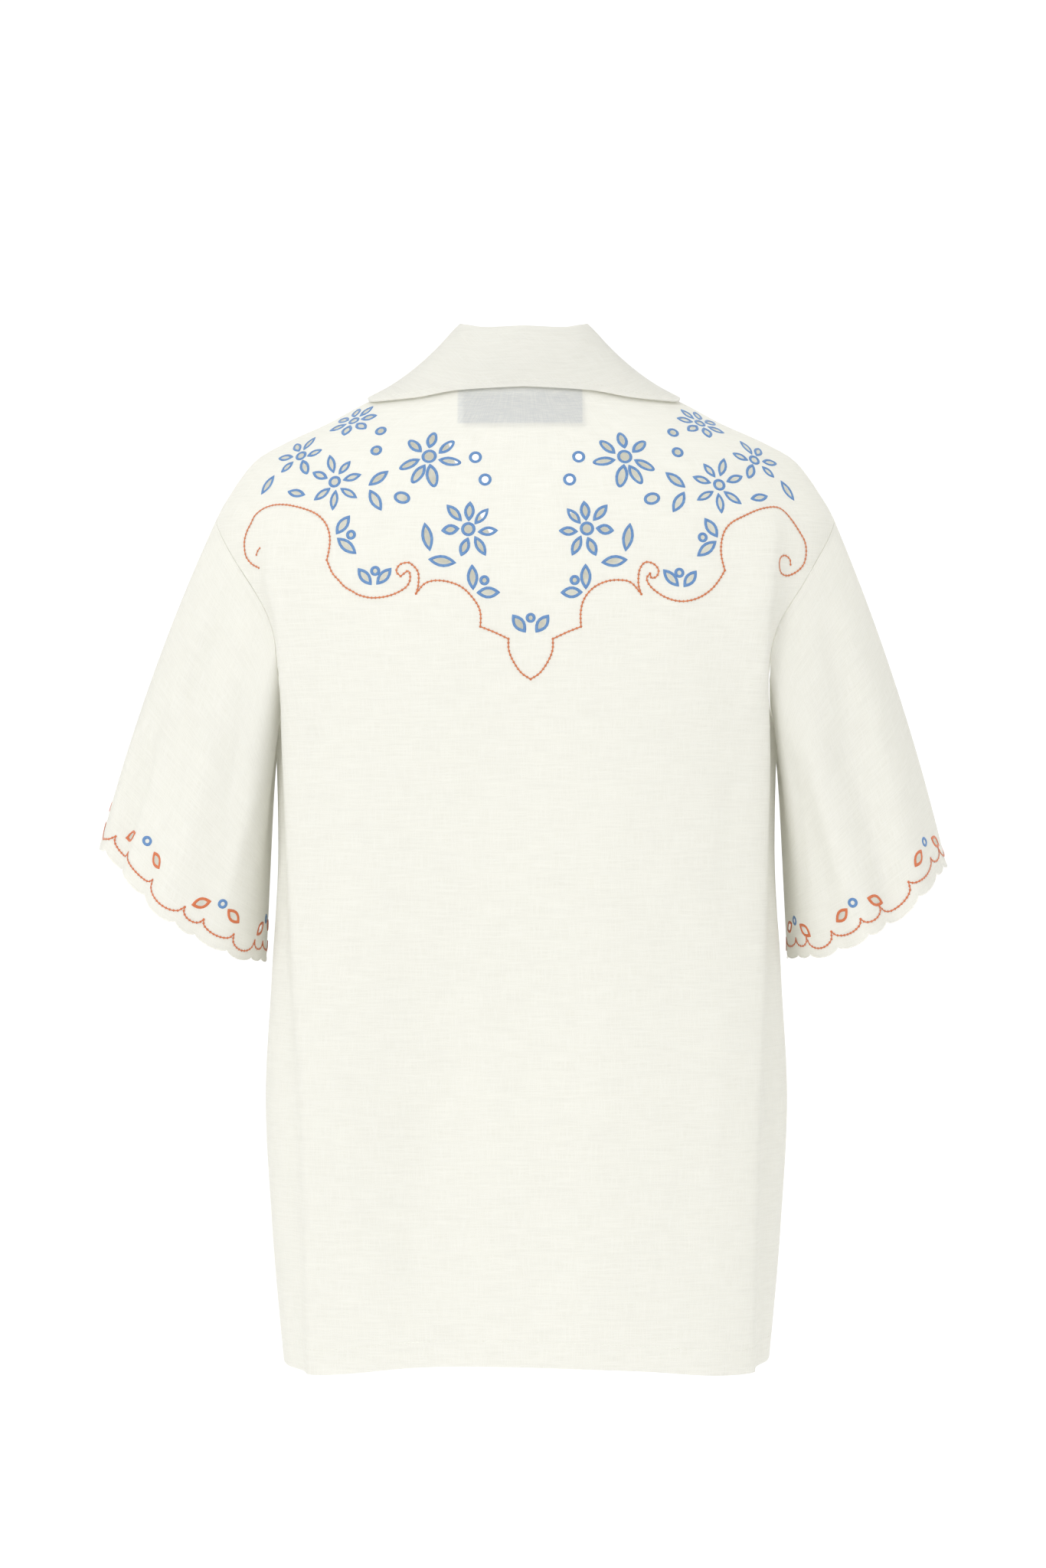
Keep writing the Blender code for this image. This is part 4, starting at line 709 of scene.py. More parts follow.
def walk(surface, start, offsets, steps=4):
    """Carries flat offsets (across, up) in metres over a surface from their starts."""
    turn = np.array(np.broadcast_to(start[0], len(offsets)), dtype=float)
    height = np.array(np.broadcast_to(start[1], len(offsets)), dtype=float)
    move = np.asarray(offsets, dtype=float) / steps
    for _ in range(steps):
        along, up = slopes(surface, turn, height)
        size = np.linalg.norm(along, axis=1)
        first = along / size[:, None]
        lean = (up * first).sum(axis=1)
        rest = np.linalg.norm(up - first * lean[:, None], axis=1)
        rise = move[:, 1] / rest
        turn = turn + (move[:, 0] - lean * rise) / size
        height = height + rise
    return list(zip(turn.tolist(), height.tolist()))


# Finer outlines of the motifs, flat, about their own middles
def turned(points, angle, at=(0.0, 0.0)):
    c, s = math.cos(math.radians(angle)), math.sin(math.radians(angle))
    return [(at[0] + x * c - y * s, at[1] + x * s + y * c) for x, y in points]


def flat_offset(surface, start, end):
    """How far across and up one place lies from another on a surface."""
    turn, height = start
    along, up = (slope[0] for slope in slopes(surface, turn, height))
    size = np.linalg.norm(along)
    lean = float(up @ along) / size
    rest = math.sqrt(float(up @ up) - lean * lean)
    rise = end[1] - height
    return (end[0] - turn) * size + rise * lean, rise * rest


def eye_outline(length, width, blunt, inset=0.0, steps=9):
    """A leaf from its inner end to its outer one, which blunt makes round; 1 is an oval."""
    first = -length / 2 + (1.5 if blunt < 1 else 1.0) * inset
    last = length / 2 - (1.5 - 0.5 * blunt) * inset
    side = width / 2 - min(0.95 * inset, 0.26 * width)
    upper = []
    for i in range(steps + 1):
        angle = math.pi * i / steps
        share = (1 - math.cos(angle)) / 2
        rounding = blunt * share if blunt < 1 else 1.0
        bulge = math.sin(angle) ** 2 * (1 - rounding) + math.sin(angle) * rounding
        upper.append((first + (last - first) * share, side * bulge))
    return upper + [(x, -y) for x, y in upper[-2:0:-1]]


def yoke_eyes(side):
    """Every eye of one side: its place, and its shift, angle and size on the cloth."""
    rows = named(EYE_COLUMNS, EYE_ROWS)
    inner = seen_places(side, [(row["inner_x"], row["inner_z"]) for row in rows])
    outer = seen_places(side, [(row["outer_x"], row["outer_z"]) for row in rows])
    eyes = []
    for row, start, end in zip(rows, inner, outer):
        middle = (start + end) / 2
        across, up = flat_offset(body_point, middle, end)
        eyes.append((middle, (0.0, 0.0), math.degrees(math.atan2(up, across)),
                     2 * math.hypot(across, up), row["width"], row["blunt"]))
    rings = seen_places(side, [row[:2] for row in RING_ROWS])
    for row, middle in zip(RING_ROWS, rings):
        if row[0] > 0 or side > 0:
            eyes.append((middle, (0.0, 0.0), 0.0, 2 * row[2], 2 * row[2], 1.0))
    flower = dict(zip(FLOWER_COLUMNS, TOP_FLOWER))
    middle = seen_places(side, [(flower["x"], flower["z"])])[0]
    for i in range(flower["petals"]):
        angle = flower["first"] + 360.0 * i / flower["petals"]
        angle = angle if side > 0 else 180 - angle
        shift = turned([(flower["reach"], 0.0)], angle)[0]
        eyes.append((middle, shift, angle, flower["length"], flower["width"],
                     PETAL_BLUNT))
    return eyes


def inside(polygon, points):
    """Which points lie in a closed polygon."""
    poly = np.asarray(polygon)
    pts = np.asarray(points)
    x0, y0 = poly[:, 0], poly[:, 1]
    x1, y1 = np.roll(x0, -1), np.roll(y0, -1)
    near = (pts[:, 0] <= poly[:, 0].max()) & (pts[:, 1] >= poly[:, 1].min())
    near &= (pts[:, 1] <= poly[:, 1].max())
    within = np.zeros(len(pts), dtype=bool)
    some = pts[near]
    crossed = np.zeros(len(some), dtype=bool)
    for ax, ay, bx, by in zip(x0, y0, x1, y1):
        if ay == by:
            continue
        crosses = (ay > some[:, 1]) != (by > some[:, 1])
        at = (bx - ax) * (some[:, 1] - ay) / (by - ay) + ax
        crossed ^= crosses & (some[:, 0] < at)
    within[near] = crossed
    return within


def distance_to_loop(loop, points, reach):
    """Distance from each point to a closed loop; far points only get a large number."""
    loop = np.asarray(loop)
    pts = np.asarray(points)
    best = np.full(len(pts), 1.0)
    near = np.all((pts > loop.min(axis=0) - reach) & (pts < loop.max(axis=0) + reach), axis=1)
    some = pts[near]
    least = np.full(len(some), 1.0)
    for a, b in zip(loop, np.roll(loop, -1, axis=0)):
        edge = b - a
        u = np.clip(((some - a) @ edge) / max(edge @ edge, 1e-18), 0, 1)
        least = np.minimum(least, np.linalg.norm(some - a - u[:, None] * edge, axis=1))
    best[near] = least
    return best


def grid_fill(outline, step):
    """Points in a staggered grid over the box of an outline."""
    loop = np.asarray(outline)
    low, high = loop.min(axis=0), loop.max(axis=0)
    fill = []
    for row, v in enumerate(np.arange(low[1], high[1] + step, step * 0.866)):
        shift = 0.5 * (row % 2)
        for u in np.arange(low[0] + shift * step, high[0] + step, step):
            fill.append((u, v))
    return np.array(fill)


def cut_mesh(outline, holes, step):
    """Triangles of a flat outline with holes, on a grid of this step."""
    fill = grid_fill(outline, step)
    keep = inside(outline, fill) & (distance_to_loop(outline, fill, step) > step * 0.55)
    for hole in holes:
        keep &= ~inside(hole, fill)
        keep &= distance_to_loop(hole, fill, step) > step * 0.45
    loops = [outline] + holes
    points = [Vector(p) for loop in loops for p in loop]
    edges = []
    start = 0
    for loop in loops:
        edges += [(start + i, start + (i + 1) % len(loop)) for i in range(len(loop))]
        start += len(loop)
    points += [Vector(p) for p in fill[keep]]
    verts, _, faces, _, _, _ = delaunay_2d_cdt(points, edges, [], 0, 1e-8)
    places = np.array([tuple(v) for v in verts])
    faces = np.array([tuple(f) for f in faces])
    middle = places[faces].mean(axis=1)
    keep = inside(outline, middle)
    for hole in holes:
        keep &= ~inside(hole, middle)
    return places, faces[keep]


def add_mesh(name, points, faces, material, uvs=None, smooth=True):
    mesh = bpy.data.meshes.new(name)
    mesh.from_pydata([tuple(map(float, p)) for p in points], [], [list(map(int, f)) for f in faces])
    mesh.update()
    mesh.materials.append(material)
    if smooth:
        mesh.shade_smooth()
        mesh.set_sharp_from_angle(angle=math.radians(50))
    if uvs is not None:
        layer = mesh.uv_layers.new(name="cloth")
        loops = np.zeros(len(mesh.loops), dtype=np.int32)
        mesh.loops.foreach_get("vertex_index", loops)
        layer.data.foreach_set("uv", np.asarray(uvs, dtype=np.float32)[loops].ravel())
    thing = bpy.data.objects.new(name, mesh)
    bpy.context.scene.collection.objects.link(thing)
    return thing


def layered(name, places, faces, outer, inner, material, facing):
    """One closed wall from the outer and inner points of every place."""
    count = len(places)
    a, b, c = (outer[faces[:, i]] for i in range(3))
    normal = np.cross(b - a, c - a)
    middle = (a + b + c) / 3
    if (normal * facing(middle)).sum() < 0:
        faces = faces[:, ::-1]
    uses = {}
    for f in faces.tolist():
        for i in range(3):
            uses[(f[i], f[(i + 1) % 3])] = True
    solid = faces.tolist()
    solid += (faces[:, ::-1] + count).tolist()
    for u, v in uses:
        if (v, u) not in uses:
            solid.append((v, u, u + count, v + count))
    uvs = np.vstack([places, places])
    return add_mesh(name, np.vstack([outer, inner]), solid, material, uvs)


def away_from_body(points):
    return points * np.array([1.0, 1.0, 0.3])


def to_domain(places):
    return [(turn * DOMAIN_WIDTH, height) for turn, height in places]


def body_panel(name, outline, holes, step, surface, top, bottom, material):
    """A thin cloth on the body between two levels off its outer face."""
    places, faces = cut_mesh(to_domain(outline), [to_domain(h) for h in holes], step)
    turn = places[:, 0] / DOMAIN_WIDTH
    height = places[:, 1]
    point = surface(turn, height)
    normal = -normals_of(surface, turn, height)
    outer = point + normal * top
    inner = point + normal * bottom
    return layered(name, places, faces, outer, inner, material, away_from_body)


def spaced(start, end, count):
    return [float(v) for v in np.linspace(start, end, count)]


def armhole_place(angle):
    """Turn and height on the armhole: 0 is its top, 90 the back, 180 the underarm."""
    rad = math.radians(angle)
    height = (ARMHOLE_TOP + ARMHOLE_BOTTOM) / 2
    height += (ARMHOLE_TOP - ARMHOLE_BOTTOM) / 2 * math.cos(rad)
    reach = ARMHOLE_REACH * math.sin(rad) * (1 - ARMHOLE_EGG * math.cos(rad))
    return turn_at(height, reach < 0, y=reach), height


def neck_height(turn):
    """The neck edge of the back rises from its middle to the sides."""
    rise = NECK_SIDE_HEIGHT - NECK_HEIGHT
    return NECK_HEIGHT + rise * float(smoothstep(0.2, 0.8, abs(turn)))


def shoulder_seam_turn(height):
    return 1 + SHOULDER_SEAM_FORWARD / float(quarter_length(height, True)[0])


def seam_meets_armhole():
    for angle in np.arange(0, 60, 0.5):
        turn, height = armhole_place(-angle)
        if turn >= shoulder_seam_turn(height):
            return -float(angle)
    return -30.0


SEAM_ANGLE = seam_meets_armhole()


def hem_height(turn):
    place = abs((turn + 2) % 4 - 2)
    drop = HEM_DROP * math.exp(-((place - HEM_DROP_AT) / HEM_DROP_WIDTH) ** 2)
    wave = HEM_WAVE * math.sin(5.0 * turn + 0.6)
    return HEM_HEIGHT - drop + wave


def gap_turn(height, front=False, gap=SEAM_GAP):
    return gap / 2 / float(quarter_length(height, front)[0])


def armhole_run(first, last, count):
    return [armhole_place(float(a)) for a in np.linspace(first, last, count)]


def shoulder_run(front):
    """The shoulder seam from the neck to the armhole, on the back's or front's side."""
    end = armhole_place(SEAM_ANGLE)[1]
    shift = 1 if front else -1
    return [(shoulder_seam_turn(h) + shift * gap_turn(h, True), h)
            for h in spaced(NECK_SIDE_HEIGHT, end + 0.0006, 36)]


def back_outline():
    """Round the back panel, from the centre of the neck by the side +X."""
    half = []
    neck_turn = shoulder_seam_turn(NECK_SIDE_HEIGHT) - gap_turn(NECK_SIDE_HEIGHT, True)
    half += [(t, neck_height(t)) for t in spaced(0, neck_turn, 34)]
    half += shoulder_run(front=False)[1:]
    half += armhole_run(SEAM_ANGLE + 1.5, 176, 64)
    half += [(1 - gap_turn(h), h) for h in spaced(ARMHOLE_BOTTOM, HEM_HEIGHT, 96)[1:-1]]
    hem_turns = spaced(1 - gap_turn(HEM_HEIGHT), 0, 66)
    half += [(t, hem_height(t)) for t in hem_turns]
    other = [(-t, h) for t, h in half[1:-1]]
    for i, (t, h) in enumerate(other):
        if h < HEM_HEIGHT + 0.003:
            other[i] = (t, hem_height(t))
    return half + other[::-1]


def opening_turn(height, x=None):
    """The turn of the front's opening edge at a height, for the side +X."""
    at = float(roll_x_at(height)) if x is None else x
    return turn_at(height, True, x=at)


def front_outline():
    """Round the front on the side +X, from the neck by the opening edge."""
    roll_foot = ROLL_ROWS[-1][0]
    run = [(opening_turn(h), h) for h in spaced(NECK_SIDE_HEIGHT, roll_foot, 40)]
    top_turn = shoulder_seam_turn(NECK_SIDE_HEIGHT) + gap_turn(NECK_SIDE_HEIGHT, True)
    run[0] = (top_turn + 0.004, NECK_SIDE_HEIGHT)
    run += [(opening_turn(h, -PLACKET_LAP), h) for h in spaced(roll_foot - 0.012, HEM_HEIGHT, 100)[:-1]]
    first = opening_turn(HEM_HEIGHT, -PLACKET_LAP)
    run += [(t, hem_height(t)) for t in spaced(first, 1 + gap_turn(HEM_HEIGHT, True), 50)]
    run += [(1 + gap_turn(h, True), h) for h in spaced(HEM_HEIGHT, ARMHOLE_BOTTOM, 96)[1:-1]]
    run += armhole_run(184, 360 + SEAM_ANGLE - 1.5, 60)
    run += shoulder_run(front=True)[1:][::-1]
    return run


def mirrored(places):
    return [(-t, h) for t, h in places]


def lapel_outline():
    run = [(opening_turn(h) - 0.004, h) for h in spaced(LAPEL_FOOT, LAPEL_TOP, 26)]
    corners = [run[-1]] + [(turn_at(h, True, x=x), h) for x, h in LAPEL_ROWS] + [run[0]]
    for start, end in zip(corners[:-1], corners[1:]):
        for i in range(1, 9):
            u = i / 8
            run.append((start[0] * (1 - u) + end[0] * u, start[1] * (1 - u) + end[1] * u))
    return run[:-1]


def label_outline():
    half = LABEL_WIDTH / 2
    run = []
    for x in spaced(-half, half, 24):
        run.append((turn_at(LABEL_TOP, False, x=x), LABEL_TOP))
    for x in spaced(half, -half, 24):
        run.append((turn_at(LABEL_BOTTOM, False, x=x), LABEL_BOTTOM))
    return run


# Sleeves
def scallop_depth(along):
    """How far the cuff's edge hangs past its line, at a distance round one repeat."""
    start = SCALLOP_ROWS[0][0]
    place = (along - start) % CUFF_REPEAT + start
    for part in named(SCALLOP_COLUMNS, SCALLOP_ROWS):
        if part["start"] <= place <= part["end"]:
            u = (place - part["start"]) / (part["end"] - part["start"])
            return part["depth"] * math.sqrt(max(0.0, 4 * u * (1 - u)))
    return 0.0


class Sleeve:
    """One sleeve's surface: angle 0 is its top line, 90 its back, 180 the underarm."""

    def __init__(self, side):
        self.side = side
        cuff = dict(zip(CUFF_COLUMNS, CUFFS[side]))
        top = np.array([side * cuff["top_x"], 0.0, cuff["top_z"]])
        foot = np.array([side * cuff["foot_x"], 0.0, cuff["foot_z"]])
        self.cuff_middle = (top + foot) / 2
        self.cuff_across = (top - foot) / 2
        self.cuff_deep = cuff["deep"]
        self.cuff_sag = cuff["sag"]
        self.phase = cuff["phase"]
        self.shift = cuff["shift"]
        self.lift = cuff["lift"]
        angles = np.linspace(-10, 370, 191)
        places = [armhole_place(float(a)) for a in angles]
        turns = np.array([side * t for t, _ in places])
        heights = np.array([h for _, h in places])
        start = body_point(turns, heights)
        out = body_normal(turns, heights)
        ahead = body_point(*self.beside(angles, 0.5))
        behind = body_point(*self.beside(angles, -0.5))
        along = units(ahead - behind)
        into = np.cross(along, out)
        middle = start.mean(axis=0)
        into *= np.sign(((middle - start) * into).sum(axis=1))[:, None]
        swing = np.radians(180 * smoothstep(75, 150, 180 - np.abs(180 - angles % 360)))
        self.angles = angles
        self.start = start
        self.start_lift = (into * np.cos(swing / 2)[:, None] + out * np.sin(swing / 2)[:, None])
        self.start_wall = (-out * np.cos(swing)[:, None] + into * np.sin(swing)[:, None])

    def beside(self, angles, step):
        places = [armhole_place(float(a + step)) for a in angles]
        return np.array([self.side * t for t, _ in places]), np.array([h for _, h in places])

    def at(self, table, angle):
        return looked_up(table, self.angles, np.asarray(angle, dtype=float) % 360)

    def radial(self, angle):
        rad = np.radians(angle)
        across = unit(self.cuff_across)
        return np.cos(rad)[:, None] * across + np.sin(rad)[:, None] * np.array([0.0, 1.0, 0.0])

    def pattern_angle(self, repeat, along):
        """The angle of a place along one repeat of the cuff's scallops."""
        return self.phase + (repeat + along / CUFF_REPEAT) * 360 / CUFF_REPEATS

    def folds(self, angle, down):
        rise = np.zeros(len(angle))
        for fold in named(SLEEVE_FOLD_COLUMNS, SLEEVE_FOLD_ROWS):
            if fold["side"] != self.side:
                continue
            share = (down - fold["start"]) / (fold["end"] - fold["start"])
            centre = fold["angle"] + fold["drift"] * share
            off = (angle - centre + 180) % 360 - 180
            across = np.radians(off) * SLEEVE_ROUND / fold["width"]
            fade = smoothstep(0, 0.35, share)
            rise += fold["rise"] * fade * np.exp(-across ** 2)
        for crease in named(SLEEVE_CREASE_COLUMNS, SLEEVE_CREASE_ROWS):
            if crease["side"] == self.side:
                off = (angle - crease["angle"] + 180) % 360 - 180
                run = (crease["down"] - down) * SLEEVE_LENGTH
                rise += crease_rise(np.radians(off) * SLEEVE_ROUND, run, crease)
        return rise

    def point(self, angle, down):
        angle = np.atleast_1d(np.asarray(angle, dtype=float))
        down = np.atleast_1d(np.asarray(down, dtype=float))
        rad = np.radians(angle)
        start = self.at(self.start, angle)
        cuff = self.cuff_middle + np.cos(rad)[:, None] * self.cuff_across
        cuff = cuff + np.sin(rad)[:, None] * np.array([0.0, self.cuff_deep, 0.0])
        cuff = cuff - (np.sin(rad) ** 2)[:, None] * np.array([0.0, 0.0, self.cuff_sag])
        radial = self.radial(angle)
        outside = 0.5 + 0.5 * np.cos(rad)
        swell = SLEEVE_BULGE * outside * 4 * np.clip(down * (1 - down), 0, None)
        lift = self.at(self.start_lift, angle) * SLEEVE_START_LIFT
        fade = np.clip(1 - down, 0, 1) ** 1.5
        off = (swell + self.folds(angle, down))[:, None]
        return start * (1 - down[:, None]) + cuff * down[:, None] + radial * off + lift * fade[:, None]

    def normal(self, angle, down):
        along = self.point(angle + 0.2, down) - self.point(angle - 0.2, down)
        run = self.point(angle, down + 1e-3) - self.point(angle, down - 1e-3)
        normal = units(np.cross(along, run))
        sign = np.sign((normal * self.radial(angle)).sum(axis=1))
        return normal * sign[:, None]

    def wall_point(self, angle, down):
        """The inner face: at the seam it is mitred to the armhole's edge."""
        outer = self.point(angle, down)
        inward = -self.normal(angle, down)
        mitre = self.at(self.start_wall, angle)
        mix = smoothstep(0.0, 0.05, down)[:, None]
        return outer + units(mitre * (1 - mix) + inward * mix) * WALL


def sleeve_domain(places):
    return [(math.radians(a) * SLEEVE_ROUND, d * SLEEVE_LENGTH) for a, d in places]


def cuff_down(sleeve, angle):
    """Where the scalloped edge lies at an angle round the cuff."""
    along = (angle - sleeve.phase) / 360 * CUFF_REPEATS * CUFF_REPEAT
    return 1 + scallop_depth(along) / SLEEVE_LENGTH


def collar_grid(count):
    """Sections of the collar from the seam up the stand, over the roll and down the fall."""
    seam_turn, edge_turn, edge_height, rise, lean, bow = (
        table_line(COLLAR_ROWS, COLLAR_COLUMNS, "t", name) for name in COLLAR_COLUMNS[1:])
    start_forward = shoulder_seam_turn(NECK_SIDE_HEIGHT)
    sections = []
    for t in np.linspace(-1, 1, count):
        side = 1.0 if t >= 0 else -1.0
        at = abs(float(t))
        turn = float(seam_turn(at))
        height = neck_height(turn)
        if turn > start_forward:
            ahead = (at - COLLAR_FRONT_FROM) / (1 - COLLAR_FRONT_FROM)
            height += (COLLAR_END_HEIGHT - height) * max(0.0, ahead) ** 1.2
            turn = max(start_forward, opening_turn(height))
        base = body_point([side * turn], height)[0]
        normal = body_normal([side * turn], height)[0]
        inward = np.array([float(sway_at(height)) - base[0], -base[1] * 1.2, 0.0])
        inward /= np.linalg.norm(inward)
        up = np.array([0.0, 0.0, 1.0])
        flat = float(smoothstep(0.7, 1.0, at))
        up = up * (1 - flat) + normal * flat
        up /= np.linalg.norm(up)
        seam = base + normal * LAID_GAP + up * COLLAR_SEAM_LIFT
        roll = seam + up * float(rise(at)) + inward * float(lean(at))
        place = float(edge_turn(at))
        edge_base = body_point([side * place], float(edge_height(at)))[0]
        edge_normal = body_normal([side * place], float(edge_height(at)))[0]
        edge = edge_base + edge_normal * COLLAR_EDGE_LIFT
        out = -inward * (1 - flat) + unit(edge - seam) * flat
        radius = COLLAR_ROLL_RADIUS - 0.0006 * flat
        section = [seam * (1 - u) + roll * u for u in (0.0, 0.35, 0.7)]
        for angle in (180, 140, 90, 40):
            c, s = math.cos(math.radians(angle)), math.sin(math.radians(angle))
            section.append(roll + out * radius * (1 + c) + up * radius * s)
        top = section[-1]
        for u in (0.25, 0.5, 0.75, 1.0):
            point = top * (1 - u) + edge * u
            point = point + (out * 0.6 + up * 0.8) * float(bow(at)) * 4 * u * (1 - u)
            section.append(point)
        sections.append(section)
    return np.array(sections)


def sleeve_eyes(sleeve):
    """Leaves and small rings of the cuff: start angle, kind, outer and inner outline."""
    eyes = []
    for repeat in range(CUFF_REPEATS):
        for leaf in named(CUFF_LEAF_COLUMNS, CUFF_LEAF_ROWS):
            start = sleeve.pattern_angle(repeat, leaf["along"] + sleeve.shift)
            pair = [turned(eye_outline(leaf["length"], leaf["width"], 0.0, inset), leaf["angle"],
                           at=(0.0, leaf["up"] + sleeve.lift)) for inset in (0.0, SATIN_WIDTH)]
            eyes.append((start, "leaf", *pair))
        start = sleeve.pattern_angle(repeat, CUFF_RING_AT[0] + sleeve.shift)
        pair = [turned(eye_outline(2 * SMALL_RING, 2 * SMALL_RING, 1.0, inset), 0.0,
                       at=(0.0, CUFF_RING_AT[1] + sleeve.lift)) for inset in (0.0, SATIN_WIDTH)]
        eyes.append((start, "ring", *pair))
    return eyes


def down_walk(sleeve, start, outline):
    return walk(sleeve.point, (start, 1.0), [(across, -up) for across, up in outline])


def make_sleeve(name, sleeve, material):
    """One tube from the armhole to the scalloped cuff, with its seam under the arm."""
    gap = math.degrees(SEAM_GAP / SLEEVE_ROUND) / 2
    low, high = 180 + gap - 360, 180 - gap
    outline = [(a, 0.0) for a in spaced(low, high, 96)]
    outline += [(high, d) for d in spaced(0, cuff_down(sleeve, high), 50)[1:-1]]
    outline += [(a, cuff_down(sleeve, a)) for a in spaced(high, low, 260)]
    outline += [(low, d) for d in spaced(cuff_down(sleeve, low), 0, 50)[1:-1]]
    holes = []
    for start, kind, _, hole in sleeve_eyes(sleeve):
        if kind != "leaf":
            continue
        around = (start + 180) % 360 - 180
        run = down_walk(sleeve, around, hole)
        if min(a for a, _ in run) > low + 2 and max(a for a, _ in run) < high - 2:
            holes.append(sleeve_domain(run))
    places, faces = cut_mesh(sleeve_domain(outline), holes, SLEEVE_STEP)
    angle = np.degrees(places[:, 0] / SLEEVE_ROUND)
    down = places[:, 1] / SLEEVE_LENGTH
    outer = sleeve.point(angle, down)
    wall = sleeve.wall_point(angle, down) - outer
    inner = outer + wall * (CLOTH / WALL)

    def facing(points):
        return points - np.array([sleeve.side, 1, 1]) * SLEEVE_MIDDLE

    return layered(name, places, faces, outer, inner, material, facing)


def collar_surface():
    """The collar's outer face: sections along it, each a smooth line over the roll."""
    coarse = collar_grid(COLLAR_SECTIONS)
    count = coarse.shape[1]
    fine = []
    for j in range(count - 1):
        a = coarse[:, max(j - 1, 0)]
        b = coarse[:, j]
        c = coarse[:, j + 1]
        d = coarse[:, min(j + 2, count - 1)]
        for u in (0.0, 0.25, 0.5, 0.75):
            fine.append(curve_between(a, b, c, d, u))
    fine.append(coarse[:, -1])
    grid = np.stack(fine, axis=1)
    rows, cols, _ = grid.shape
    normal = units(np.cross(np.gradient(grid, axis=0), np.gradient(grid, axis=1)))
    if normal[rows // 2, cols - 1, 1] < 0:
        normal = -normal
    return grid, normal


def make_collar(name, grid, normal, material):
    rows, cols, _ = grid.shape
    inner = grid - normal * COLLAR_CLOTH
    run = np.zeros((rows, cols))
    run[1:] = np.cumsum(np.linalg.norm(np.diff(grid, axis=0), axis=2), axis=0)
    fall = np.zeros((rows, cols))
    fall[:, 1:] = np.cumsum(np.linalg.norm(np.diff(grid, axis=1), axis=2), axis=1)
    places = np.stack([run, fall], axis=2).reshape(-1, 2)
    faces = []
    for i in range(rows - 1):
        for j in range(cols - 1):
            a, b = i * cols + j, i * cols + j + 1
            c, d = (i + 1) * cols + j + 1, (i + 1) * cols + j
            faces += [(a, b, c), (a, c, d)]
    flip = np.repeat(normal[:-1, :-1].reshape(-1, 3), 2, axis=0)
    return layered(name, places, np.array(faces), grid.reshape(-1, 3), inner.reshape(-1, 3),
                   material, lambda points: flip)


# Embroidery
class Heap:
    """Gathers closed bits of one thread colour into one mesh."""

    def __init__(self):
        self.points = []
        self.faces = []
        self.uvs = []

    def add(self, points, faces, uvs):
        start = len(self.points)
        self.points += [tuple(p) for p in points]
        self.faces += [tuple(start + v for v in f) for f in faces]
        self.uvs += [tuple(uv) for uv in uvs]

    def build(self, name, material):
        return add_mesh(name, self.points, self.faces, material, np.array(self.uvs))


def cross_ring(heap, rows, closed=True, run=None):
    """Skins rings of points: rows is (n along, m round, 3); each ring is closed."""
    n, m, _ = rows.shape
    faces = []
    for i in range(n if closed else n - 1):
        k = (i + 1) % n
        for j in range(m):
            after = (j + 1) % m
            faces.append((i * m + j, i * m + after, k * m + after, k * m + j))
    if not closed:
        faces.append(tuple(range(m))[::-1])
        faces.append(tuple((n - 1) * m + j for j in range(m)))
    if run is None:
        run = run_along(rows.mean(axis=1))
    uvs = [(run[i], j / m) for i in range(n) for j in range(m)]
    heap.add(rows.reshape(-1, 3), faces, uvs)


def satin_bands(heap, surface, eyes):
    """Satin stitches round each eye, arched between its inner and outer edge."""
    turns, heights, offsets = [], [], []
    for start, side, upward, outer, inner in eyes:
        for share, _ in BAND_ROWS:
            for a, b in zip(inner, outer):
                turns.append(start[0])
                heights.append(start[1])
                offsets.append((side * (a[0] + (b[0] - a[0]) * share),
                                upward * (a[1] + (b[1] - a[1]) * share)))
    run = np.array(walk(surface, (turns, heights), offsets))
    point = surface(run[:, 0], run[:, 1])
    normal = surface_normal(surface, run[:, 0], run[:, 1])
    first = 0
    for *_, outer, inner in eyes:
        count = len(outer)
        columns = []
        for _, rise in BAND_ROWS:
            part = slice(first, first + count)
            columns.append(point[part] + normal[part] * (SATIN_LIFT * rise + THREAD_FLOAT))
            first += count
        cross_ring(heap, np.stack(columns, axis=1))


def surface_normal(surface, turn, height):
    if surface is body_point:
        return body_normal(turn, height)
    return surface.__self__.normal(turn, height)


def bead_chain(heap, line, normals, spacing=BEAD_STEP, size=BEAD_SIZE, thread=BEAD_THREAD):
    """A cord of small lozenge stitches along a line of points on the cloth."""
    run = run_along(line)
    total = run[-1]
    count = max(2, int(round(total / spacing)))
    at = np.linspace(0, total, count * 3 + 1)
    point = looked_up(line, run, at)
    normal = units(looked_up(normals, run, at))
    ahead = units(np.gradient(point, axis=0))
    across = np.cross(normal, ahead)
    rows = []
    for j in range(6):
        angle = 2 * math.pi * j / 6
        rows.append(point + across * thread * math.cos(angle)
                    + normal * (thread * 0.7 * math.sin(angle) + thread * 0.35))
    cross_ring(heap, np.stack(rows, axis=1), closed=False, run=at)
    for i in range(0, len(at), 3):
        p, n, a, c = point[i], normal[i], ahead[i], across[i]
        high = p + n * size * 0.42
        ring = []
        for j in range(8):
            angle = math.pi * j / 4
            reach = size * (1.0 if j % 2 == 0 else 0.74)
            ring.append(p + a * reach * math.cos(angle) + c * reach * math.sin(angle) + n * 0.0001)
        low = p - n * 0.0002
        shoulder = [p + (q - p) * 0.62 + n * size * 0.30 for q in ring]
        bits = [high] + shoulder + ring + [low]
        faces = []
        for j in range(8):
            k = (j + 1) % 8
            faces += [(0, 1 + j, 1 + k), (1 + j, 9 + j, 9 + k, 1 + k), (9 + j, 17, 9 + k)]
        heap.add(bits, faces, [(at[i], 0.5)] * len(bits))


